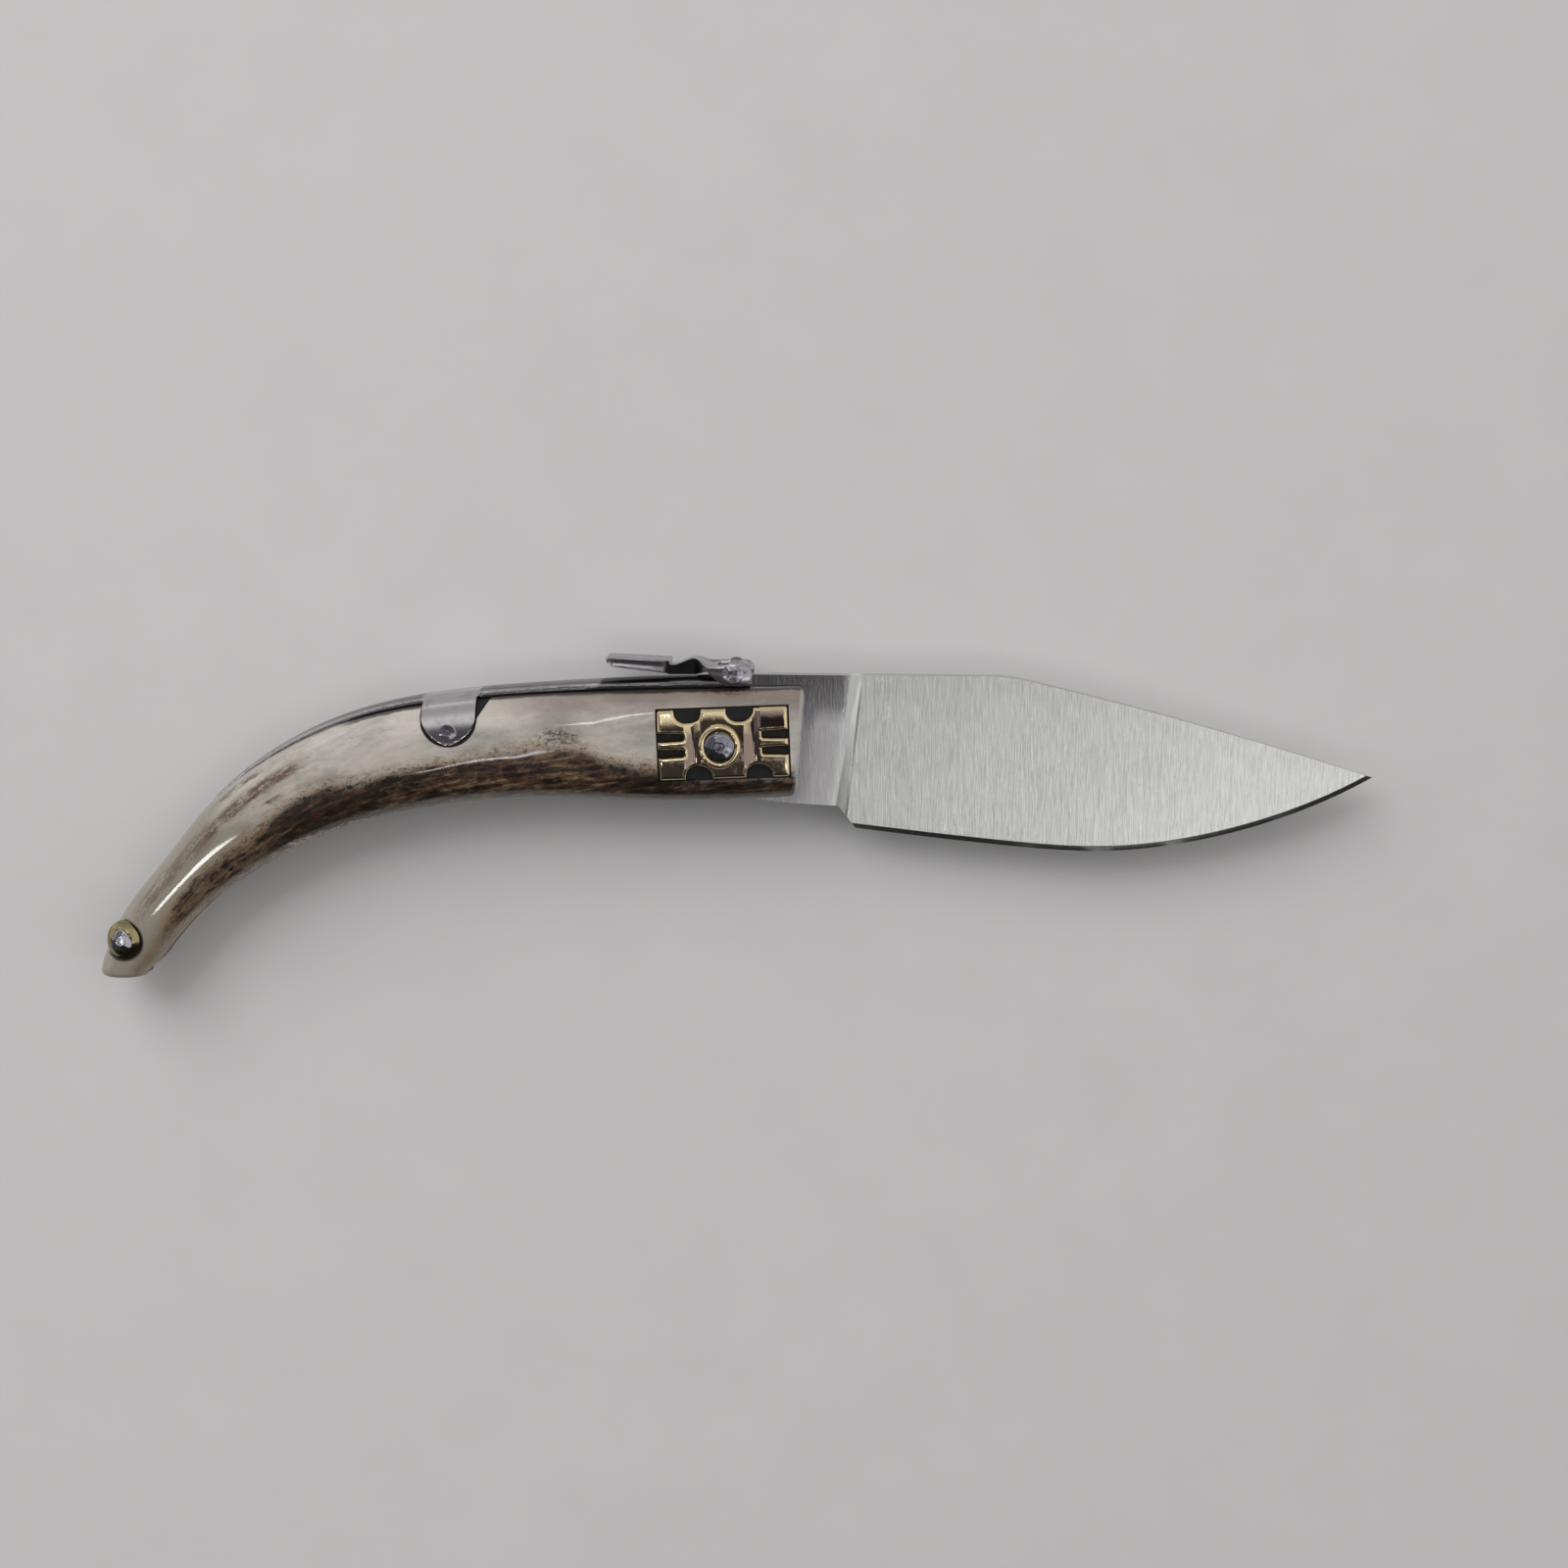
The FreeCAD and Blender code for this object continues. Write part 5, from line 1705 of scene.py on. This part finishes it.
@dataclass
class ButtRivet:
    """The rivet through the butt and its two domed washers."""

    place: Point = (-98.9, -32.8)
    washer_radius: float = 3.3
    washer_height: float = 1.35
    washer_wall: float = 0.35
    flat_margin: float = 0.05
    around: int = 84
    dent: float = 0.13
    highest: float = 0.02
    dent_seed: int = 5
    head_radius: float = 1.75
    head_proud: float = 0.55
    head_sunk: float = 0.3
    head_dome: float = 0.5
    head_shape: Point = (0.92, 1.06)
    head_point: float = 0.10
    pin_radius: float = 1.25
    seed: int = 31
    facets: int = 6

    def __post_init__(self) -> None:
        """Read the height of the flat that a washer sits on."""
        self.seat = foot_of("right_butt_washer")

    def flats(self) -> list[Thing]:
        """Cutters of the flats on both sides of the butt."""
        radius = self.washer_radius + self.flat_margin
        return [lathe(f"{side}_flat", [(radius, height) for height in
                                       sorted((self.seat * sign, CUT_REACH * sign))],
                      self.place, 64) for side, sign in SIDES]

    def build(self, brass: Finish, steel: Finish) -> None:
        """Make and dress the washers and the rivet.

        Args:
            brass: Finish of the washers.
            steel: Finish of the rivet.
        """
        for index, (side, sign) in enumerate(SIDES):
            washer = self.washer(f"{side}_washer", sign, index + self.dent_seed)
            dress(washer, Body.HANDLE, Slot.BRASS, brass, f"{side}_butt_washer")
        high = self.seat + self.washer_height
        rivet = Rivet("butt_rivet", self.place, self.head_radius, self.head_dome, self.seed,
                      self.facets, high - self.head_sunk, high + self.head_proud,
                      self.pin_radius, high, self.head_shape, self.head_point)
        rivet.build(Body.HANDLE, steel, "butt_pin")

    def washer(self, name: str, sign: float, seed: int) -> Thing:
        """Make one domed washer, filed to a blunt pear shape and dented by the hammer.

        Args:
            name: The washer's name.
            sign: 1 for the right side, -1 for the left.
            seed: Seed of the dents.

        Returns:
            The washer.
        """
        turn = np.linspace(0, 2 * math.pi, self.around, endpoint=False)
        outline = 1 - 0.19 * np.clip(-np.cos(turn), 0, 1) ** 1.5
        outline = outline - 0.05 * np.clip(np.cos(turn + 0.9), 0, 1) ** 2
        chance = np.random.default_rng(seed)
        dents = sum(chance.uniform(0.3, 1.0) * np.cos(k * turn + chance.uniform(0, 6.3))
                    for k in range(2, 7)) / 5
        profile = [(self.pin_radius, 0.0), (self.washer_radius, 0.0),
                   (self.washer_radius, self.washer_wall)]
        dome, inner = self.washer_height - self.washer_wall, self.head_radius * 0.8
        for share in np.linspace(0.1, 1.0, 12):
            radius = self.washer_radius - (self.washer_radius - inner) * share
            profile.append((radius, self.washer_wall + dome * math.sin(share * math.pi / 2)))
        rings = []
        for radius, rise in profile:
            within = np.clip((self.washer_radius - radius) * 2, 0, 1)
            lift = dents * self.dent * np.clip((rise - 0.3) * 2, 0, 1) * within
            wide = radius * (outline if radius > self.head_radius else 1.0)
            height = self.seat + rise + np.minimum(lift, self.highest)
            rings.append(np.stack([self.place[0] + wide * np.cos(turn),
                                   self.place[1] + wide * np.sin(turn), height * sign], axis=1))
        return sweep(name, rings)


@dataclass
class BackSpring:
    """The spring along the back, with its saddle and two ears."""

    form: AntlerForm
    thickness: float = 1.7
    thinnest: float = 0.3
    width: float = 5.8
    tail_width: float = 2.4
    seat: float = 0.35
    shares: tuple = (1.0, 1.0, 0.92, 0.8, 0.76, 0.72, 0.62, 0.2)
    strip_from: float = 4.0
    bar_end: float = 4.8
    edge: float = 0.36
    edge_share: float = 0.3
    crown: float = 0.02
    pin: Point = (-43.6, 2.2)
    ear_width: float = 8.8
    ear_drop: float = 2.05
    ear_proud: float = 0.2
    ear_sunk: float = 0.9
    ear_margin: float = 0.3
    ear_gap: float = 3.4
    ear_wedge: Point = (4.7, 14.0)
    ear_power: float = 1.6
    ear_share: float = 0.76
    ear_soft: float = 0.22
    grid: tuple[int, int] = (41, 61)
    room_margin: float = 0.05
    probe_top: float = 11.5
    probe_count: int = 500
    lever_pin: Point = (2.1, 11.4)
    eye_radius: float = 1.5
    eye_soft: float = 0.15
    window: Corner = (-3.9, -0.3, 1.65)
    window_heights: Point = (5.0, 14.0)
    filler_shy: float = 0.02
    filler_sunk: float = 0.3
    pin_head: float = 1.4
    pin_dome: float = 0.16
    pin_shank: float = 1.3
    seed: int = 51
    facets: int = 7

    def ear_low(self, x: Any, margin: float, power: float = 2.0) -> np.ndarray:
        """Draw the lower edge of an ear.

        Args:
            x: Places along the knife.
            margin: How far the edge stands outside the ear.
            power: 2 for a round edge, less for a pointed one.

        Returns:
            Heights of the edge.
        """
        half = self.ear_width / 2 + margin
        share = np.clip(np.abs(x - self.pin[0]) / half, 0, 1)
        return self.ear_middle() - half * (1 - share ** power) ** (1 / power)

    def ear_middle(self) -> float:
        """Height of the middle of an ear's round edge."""
        return self.pin[1] - self.ear_drop + self.ear_width / 2

    def ear_room(self) -> Thing:
        """Make the cutter of the ears' room, with the wedge filed in front of them.

        Returns:
            The cutter.
        """
        half = self.ear_width / 2 + self.ear_margin
        xs = np.linspace(self.pin[0] - half, self.pin[0] + half, 40)
        front = self.pin[0] + self.ear_width / 2 + self.ear_gap
        low, high = (self.ear_middle() + rise for rise in self.ear_wedge)
        outline = [*zip(xs, self.ear_low(xs, self.ear_margin)), (front, low), (front, high),
                   (xs[0], high)]
        room = prism("ear_room", outline, -CUT_REACH, CUT_REACH)
        grow = (-self.seat - self.room_margin, -self.ear_sunk - self.room_margin)
        carve(room, [sweep("ear_core", self.form.tube(grow, 160, 96))])
        return room

    def strip(self) -> Thing:
        """Make the tapered strip from the lock to the tail.

        Returns:
            The strip.
        """
        places = np.linspace(self.form.span[0] + self.strip_from, self.form.spring_end, 150)
        centre, to_back, sizes = self.form.stations(places)
        stations = self.form.sizes.places[:self.form.spring_stations]
        shares = SmoothLine(stations, self.shares).at(places)[:, 0]
        lows = centre + to_back * (sizes[:, 1] - self.seat)[:, None]
        rings = []
        for low, back, share in zip(lows, to_back, shares):
            if low[0] <= self.bar_end:
                wide = tapered(low[0], lows[-1, 0], self.width, self.tail_width)
                thick = max(self.thickness * share, self.thinnest)
                rings.append(self.section(low, back, wide, thick))
        made = sweep("strip", rings)
        back, front, half = self.window
        low, high = self.window_heights
        window = [(back, low), (front, low), (front, high), (back, high)]
        carve(made, [prism("window", window, -half, half)])
        return made

    def section(self, low: np.ndarray, to_back: np.ndarray, wide: float,
                thick: float) -> list[Corner]:
        """Draw a flat section of the strip with crowned top and softened edges.

        Args:
            low: Middle of its underside.
            to_back: Direction to the back.
            wide: Half its width.
            thick: Its thickness.

        Returns:
            Points round the section.
        """
        edge = min(self.edge, thick * self.edge_share)
        left = [(wide, edge), (wide, thick - edge * 1.6), (wide - edge, thick - edge * 0.5),
                (wide - edge * 3, thick)]
        ring = [(-across, up) for across, up in left] + [(0.0, thick + self.crown)] + left[::-1]
        ring += [(wide - edge, 0.0), (-wide + edge, 0.0)]
        return [(low[0] + to_back[0] * up, low[1] + to_back[1] * up, across) for across, up in ring]

    def saddle(self, name: str, margin: float, power: float, outside: Point,
               inside: Point) -> Thing:
        """Make a strap over the back that ends in two ears.

        Args:
            name: The object's name.
            margin: How far it reaches past the ears.
            power: 2 for round ends, less for pointed ones.
            outside: How far its outside stands off the antler in height and thickness.
            inside: How far its inside does.

        Returns:
            The strap.
        """
        rows, columns = self.grid
        half = self.ear_width / 2 + margin - 0.02
        xs = self.pin[0] + np.sin(np.linspace(-1, 1, rows) * math.pi / 2) * half
        lows = self.ear_low(xs, margin, power)
        points = [self.arch(x, low, grow) for grow in (outside, inside) for x, low in zip(xs, lows)]
        total = rows * columns
        faces = grid_faces(rows, columns, False)
        faces = faces + [tuple(total + index for index in face[::-1]) for face in faces]
        for loop in (range(0, total, columns), range(columns - 1, total, columns), range(columns),
                     range(total - columns, total)):
            faces += [(first, last, total + last, total + first)
                      for first, last in zip(loop, loop[1:])]
        return make_mesh(name, np.vstack(points), faces)

    def arch(self, x: float, low: float, grow: Point) -> np.ndarray:
        """Draw a line across the knife from one ear's edge over the back to the other.

        Args:
            x: Place along the knife.
            low: Height of the ear's edge there.
            grow: How far the line stands off the antler in height and thickness.

        Returns:
            The line's points.
        """
        probe = np.linspace(low, self.probe_top, self.probe_count)
        _, rise, sizes = self.form.local(np.full(self.probe_count, x), probe)
        halves = sizes[:, 1] + grow[0]
        half, thick, square = halves[0], sizes[0, 2] + grow[1], sizes[0, 3]
        middle = probe[int(np.argmin(np.abs(rise - halves)))] - half
        share = np.clip((low - middle) / half, 0.02, 1)
        start = math.acos(share ** (square / 2))
        up, out = rounded_square(np.linspace(-start, start, self.grid[1]), square)
        return np.stack([np.full_like(up, x), middle + up * half, out * thick], axis=1)

    def eye(self) -> Thing:
        """Make the eye of the lever at the front of the spring.

        Returns:
            The eye.
        """
        half, radius, soft = self.width / 2, self.eye_radius, self.eye_soft
        profile = [(radius - soft, -half), (radius, -half + soft), (radius, half - soft),
                   (radius - soft, half)]
        return lathe("eye", profile, self.lever_pin, 64)

    def build(self, steel: Finish, rivet: Finish, pitch: Finish) -> None:
        """Make and dress the spring, the filler under its ears and the rivet through them.

        Args:
            steel: Finish of the spring.
            rivet: Finish of the rivet.
            pitch: Finish of the filler.
        """
        rise = -self.seat + self.thickness * self.ear_share
        ears = self.saddle("saddle", 0.0, self.ear_power, (rise, self.ear_proud),
                           (-self.seat, -self.ear_sunk))
        soften(ears, self.ear_soft, 3, 50.0)
        whole = join("back_spring_steel", [self.strip(), ears, self.eye()])
        points = points_of(whole)
        along, rise, sizes = self.form.local(points[:, 0], points[:, 1])
        store(whole, "strip", [along, rise - sizes[:, 1] + self.seat, points[:, 2]])
        start = (self.pin[0] * MM + 0.005, 0.0085, MID)
        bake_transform(whole, Body.HANDLE.value, Body.SPRING.value, start=start,
                 end=(-0.006, 0.0095, MID))
        dress(whole, Body.SPRING, Slot.POLISHED, steel, "back_spring")
        shy = self.filler_shy
        filler = self.saddle("ear_filler", self.ear_margin - shy, 2.0,
                             (-self.seat - shy, -self.filler_sunk),
                             (-self.seat - 2 * shy, -self.ear_sunk))
        dress(filler, Body.HANDLE, Slot.BEDDING, pitch)
        low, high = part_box("spring_pin")
        half = (high[2] - low[2]) / 2 / MM
        pin = Rivet("ear_rivet", self.pin, self.pin_head, self.pin_dome, self.seed, self.facets,
                    half - 0.5, half, self.pin_shank, half - 0.4)
        pin.build(Body.HANDLE, rivet, "spring_pin")


@dataclass
class Lever:
    """The release lever: thumb pad, swan neck and a yoke with two cheeks."""

    pin: Point = (2.1, 11.4)
    pad_end: float = -18.4
    pad_length: float = 10.2
    pad_half: float = 3.2
    pad_top: float = 13.9
    pad_soft: float = 0.14
    tip_places: tuple = (0.0, 0.06, 0.16, 0.32, 0.6, 1.1)
    tip_round: float = 0.6
    neck_top: float = 13.35
    tip_thickness: float = 0.7
    chamfer: Point = (1.1, 0.8)
    root_thickness: float = 2.05
    neck_half: float = 1.8
    neck_low: float = 11.0
    neck_soft: float = 0.22
    hump_places: tuple = (-8.6, -7.3, -5.6, -4.2, -3.2, -2.3, -0.4)
    hump_heights: tuple = (12.62, 12.62, 13.25, 13.6, 13.28, 12.8, 12.75)
    bridge_top: float = 12.75
    cheek_inner: float = 3.0
    cheek_outer: float = 4.2
    cheek_soft: float = 0.25
    flare: Point = (-4.05, -2.15)
    flare_lead: float = 0.4
    bridge_end: float = -0.4
    bridge_thickness: float = 1.05
    nose_turns: tuple = (-72.0, -55.0, -40.0, -20.0, 0.0, 15.0, 30.0, 45.0, 60.0, 80.0)
    nose_radii: tuple = (2.1, 2.45, 2.8, 3.0, 3.0, 2.85, 2.5, 1.88, 1.55, 1.37)
    toe: Point = (0.58, 2.0)
    swell: float = 0.6
    head_radius: float = 1.7
    head_height: float = 0.5
    head_dome: float = 0.3
    head_sunk: float = 0.2
    shank: float = 0.95
    seed: int = 71
    facets: int = 8

    @staticmethod
    def bar(name: str, xs: np.ndarray, top: np.ndarray, low: np.ndarray, half: np.ndarray,
            edge: float) -> Thing:
        """Make a bar along X with its own top, underside and half width at each place.

        Args:
            name: The object's name.
            xs: The places.
            top: Heights of its top.
            low: Heights of its underside.
            half: Half its width.
            edge: Radius of its edges.

        Returns:
            The bar.
        """
        rings = []
        for x, high, foot, wide in zip(xs, top, low, half):
            soft = min(edge, (high - foot) * 0.45, wide * 0.45)
            ring = []
            for across, level, turn in ((1, high - soft, 0), (-1, high - soft, 90),
                                        (-1, foot + soft, 180), (1, foot + soft, 270)):
                for step in np.radians(np.linspace(turn, turn + 90, 5)):
                    ring.append((x, level + soft * math.sin(step),
                                 across * (wide - soft) + soft * math.cos(step)))
            rings.append(ring)
        return sweep(name, rings)

    def pad(self) -> Thing:
        """Make the thumb pad, chamfered under its tip and stepped down to the neck.

        Returns:
            The pad.
        """
        end, root = self.pad_end, self.pad_end + self.pad_length
        middle = np.linspace(end + 1.8, root - 0.15, 12)
        xs = np.concatenate([end + np.array(self.tip_places), middle, [root - 0.05, root]])
        ease = np.clip((xs - end) / self.tip_round, 0, 1)
        top = self.pad_top + (self.neck_top - self.pad_top) * (xs - end) / self.pad_length
        top = top - 0.10 * (1 - ease) ** 2
        tip = self.pad_top - self.tip_thickness
        under = np.interp(xs, [end, end + self.chamfer[0], root],
                          [tip, tip - self.chamfer[1], self.neck_top - self.root_thickness])
        half = self.pad_half * (0.86 + 0.14 * np.sqrt(np.clip(1 - (1 - ease) ** 2, 0, 1)))
        half[-1] -= 0.1
        return self.bar("pad", xs, top, under, half, self.pad_soft)

    def neck(self) -> Thing:
        """Make the swan neck and the bridge that flares to the cheeks.

        Returns:
            The neck.
        """
        root = self.pad_end + self.pad_length
        start, end = self.flare
        xs = np.linspace(root - 0.3, self.bridge_end, 60)
        top = SmoothLine(self.hump_places, self.hump_heights).at(xs)[:, 0]
        bridge_low = self.bridge_top - self.bridge_thickness
        low = np.interp(xs, [root, start, end], [self.neck_low, self.neck_low, bridge_low])
        opening = np.clip((xs - start + self.flare_lead) / (end - start + self.flare_lead), 0, 1)
        spread = self.cheek_outer - 0.1 - self.neck_half
        half = self.neck_half + spread * opening * opening * (3 - 2 * opening)
        return self.bar("neck", xs, top, low, half, self.neck_soft)

    def cheek(self, sign: float) -> Thing:
        """Make one cheek: round the pin, with the toe that bears on the handle.

        Args:
            sign: 1 for the right side, -1 for the left.

        Returns:
            The cheek.
        """
        x, y = self.pin
        outline: list[Any] = [(self.flare[1], self.bridge_top), (x, self.bridge_top)]
        for turn in np.linspace(self.nose_turns[-1], self.nose_turns[0], 24):
            radius = np.interp(turn, self.nose_turns, self.nose_radii)
            outline.append(turned((radius, 0.0), turn) + self.pin)
        toe = np.array([x - self.toe[0], y - self.toe[1]])
        root = np.array([self.flare[0] + 1.0, self.bridge_top + 0.25])
        outline.append(toe)
        for share in np.linspace(0.12, 1.0, 11):
            swell = math.sin(share ** 0.8 * math.pi) * self.swell
            outline.append(toe * (1 - share) + root * share - swell * np.array([0.65, 0.75]))
        low, high = sorted((self.cheek_inner * sign, self.cheek_outer * sign))
        made = prism("cheek", outline, low, high)
        soften(made, self.cheek_soft, 4, 25.0)
        return made

    def build(self, steel: Finish, rivet: Finish) -> None:
        """Make and dress the lever and its rivet.

        Args:
            steel: Finish of the lever.
            rivet: Finish of the rivet.
        """
        parts = [self.pad(), self.neck()] + [self.cheek(sign) for _, sign in SIDES]
        made = join("release_lever", parts)
        dress(made, Body.LEVER, Slot.POLISHED, steel, "lever")
        outer = self.cheek_outer
        pin = Rivet("lever_rivet", self.pin, self.head_radius, self.head_dome, self.seed,
                    self.facets, outer - self.head_sunk, outer + self.head_height,
                    self.shank, outer)
        pin.build(Body.LEVER, rivet, "lever_pin")


@dataclass(frozen=True)
class StripLamp:
    """A narrow lamp that hangs over the knife and draws a highlight, in metres."""

    name: str
    start: Point
    end: Point
    width: float
    level: float


@dataclass
class Studio:
    """The table, the light and the camera."""

    target: Point = (9.97, -7.17)
    yaw: float = 2.63
    pitch: float = 9.88
    roll: float = -0.34
    distance: float = 414.0
    lens: float = 58.5
    sensor: float = 36.0
    clip: Point = (0.01, 20.0)
    floor_size: float = 6.0
    floor_drop: float = 0.00002
    warm: Colour = (1.0, 0.99, 0.975, 1.0)
    mauve: Colour = (0.97, 0.93, 1.0, 1.0)
    key_place: Corner = (-0.70, 1.10, 1.10)
    key_size: Point = (1.2, 1.2)
    key_power: float = 18.0
    strip_height: float = 0.80
    strips: tuple = (
        StripLamp("upper_strip", (-0.075, 0.407), (-0.111, 0.145), 0.006, 20.0),
        StripLamp("lower_strip", (-0.108, -0.127), (-0.203, -0.263), 0.006, 20.0),
        StripLamp("butt_strip", (-0.370, -0.252), (-0.447, -0.205), 0.028, 22.0))

    def build(self) -> None:
        """Set up everything that isn't part of the knife."""
        self.floor()
        self.world()
        self.lamps()
        self.camera()
        bpy.context.scene.view_settings.view_transform = "Standard"

    def floor(self) -> None:
        """Lay a plain pale table top under the knife."""
        half = self.floor_size / 2
        corners = [(-half, -half, 0), (half, -half, 0), (half, half, 0), (-half, half, 0)]
        data = bpy.data.meshes.new("table")
        data.from_pydata(corners, [], [(0, 1, 2, 3)])
        data.materials.append(FloorFinish().material())
        table = add_object("table", data)
        table.location.z = -self.floor_drop

    def world(self) -> None:
        """Make a soft bright room with a dim patch overhead, a dim front and a bright panel."""
        world = bpy.data.worlds.new("studio")
        bpy.context.scene.world = world
        s = Shader(world)
        x, y, z = s.parts(s.place("Generated"))
        overhead = (y + 0.14 - x * 0.5).step(-0.015, 0.02)
        overhead = overhead * (y + x * 0.6).step(0.28, 0.10) * z.step(0.3, 0.7)
        left = x.step(-0.035, -0.055) * y.step(-0.05, -0.12)
        near = x.step(0.005, -0.02) * y.step(-0.20, -0.26)
        side = x.step(-0.12, -0.5) * 0.25
        front = y.step(-0.32, -0.48).most(left).most(near)
        back = y.step(0.55, 0.80) * z.step(0.05, 0.30) * 0.35
        panel = abs(y + 0.305).step(0.065, 0.0) * x.step(-0.02, 0.02) * x.step(0.7, 0.4)
        level = 0.86 + panel * 1.35 - (overhead * (0.81 - side)).most(front * 0.76).most(back)
        level = level - y.step(-0.50, -0.66) * 0.08
        colour = s.mix(self.warm, self.mauve, overhead)
        light = s.signal("ShaderNodeBackground", None, {"Color": colour, "Strength": level})
        s.node("ShaderNodeOutputWorld", None, {"Surface": light})

    def lamps(self) -> None:
        """Hang one soft lamp at the back left and the narrow lamps of the highlights."""
        key = Vector(self.key_place)
        turn = (-key).to_track_quat("-Z", "Y")
        self.lamp("key", key, self.key_size, self.key_power, turn).visible_glossy = False
        for strip in self.strips:
            first, last = (Vector((*end, self.strip_height)) for end in (strip.start, strip.end))
            run = last - first
            turn = Matrix.Rotation(math.atan2(run.y, run.x), 3, "Z").to_quaternion()
            power = math.pi * strip.level * run.length * strip.width
            self.lamp(strip.name, (first + last) / 2, (run.length, strip.width), power, turn)

    @staticmethod
    def lamp(name: str, place: Vector, size: Point, power: float, turn: Quaternion) -> Thing:
        """Hang an area lamp.

        Args:
            name: The lamp's name.
            place: Where it hangs, in metres.
            size: Its width and depth in metres.
            power: Its power in watts.
            turn: How it is turned.

        Returns:
            The lamp.
        """
        data = bpy.data.lights.new(name, "AREA")
        data.shape = "RECTANGLE"
        data.size, data.size_y = size
        data.energy = power
        lamp = add_object(name, data)
        lamp.matrix_world = Matrix.LocRotScale(place, turn, None)
        return lamp

    def camera(self) -> None:
        """Set the camera at the photograph's angle."""
        data = bpy.data.cameras.new("view")
        data.lens, data.sensor_width = self.lens, self.sensor
        data.clip_start, data.clip_end = self.clip
        sines = [math.sin(math.radians(angle)) for angle in (self.yaw, self.pitch)]
        away = Vector((*sines, math.sqrt(1 - sines[0] ** 2 - sines[1] ** 2)))
        right = Vector((0, 1, 0)).cross(away).normalized()
        up = away.cross(right)
        cos, sin = math.cos(math.radians(self.roll)), math.sin(math.radians(self.roll))
        right, up = right * cos + up * sin, up * cos - right * sin
        place = Matrix((right, up, away)).transposed().to_4x4()
        middle = Vector((self.target[0] * MM, self.target[1] * MM, MID))
        place.translation = middle + away * self.distance * MM
        view = add_object("view", data)
        view.matrix_world = place
        bpy.context.scene.camera = view


def main() -> None:
    """Build the knife and its studio."""
    logging.basicConfig(level=logging.INFO, format="%(message)s")
    form = AntlerForm()
    plate, spring, butt = BolsterPlate(form), BackSpring(form), ButtRivet()
    pitch = PitchFinish().material()
    butt_brass = HammeredFinish("butt_brass", tone(158, 145, 110), tone(78, 68, 48), 0.10, 420.0)
    rivet = HammeredFinish("hammered_rivet", tone(168, 167, 174), tone(84, 82, 92), 0.12,
                           620.0).material()
    pivot = HammeredFinish("pivot_rivet_steel", tone(136, 136, 147), tone(66, 64, 74), 0.10, 520.0)
    # painted shade blackens the sides of the lever's neck
    lever_steel = PolishedSteelFinish("lever_steel", tone(164, 160, 164), tone(104, 100, 105),
                                      shade_from=-9.0, shade_to=-2.2, shade_on_sides=True)
    flush = PolishedSteelFinish("flush_rivet_steel", tone(160, 158, 168), tone(96, 94, 104), 0.12)
    Handle(form, BladeOutline()).build(plate, spring, butt, AntlerFinish().material())
    plate.build(BrassFinish("polished_brass", 620.0).material())
    PivotRivet().build(BrassFinish("ring_brass", 900.0).material(), pivot.material())
    butt.build(butt_brass.material(), rivet)
    spring.build(SpringFinish().material(), flush.material(), pitch)
    Lever().build(lever_steel.material(), rivet)
    beddings = [f"{side}_{kind}_bedding" for side, _ in SIDES for kind in ("plate", "ear")]
    kept = {"blade": SatinSteelFinish().material(), **dict.fromkeys(beddings, pitch)}
    for name, finish in kept.items():
        node = frame["nodes"][name]
        node.data.materials.clear()
        node.data.materials.append(finish)
        LOG.info("node %s kept", name)
    soften(frame["nodes"]["blade"], 0.06, 2, 30.0)
    Studio().build()


if __name__ == "__main__":
    main()
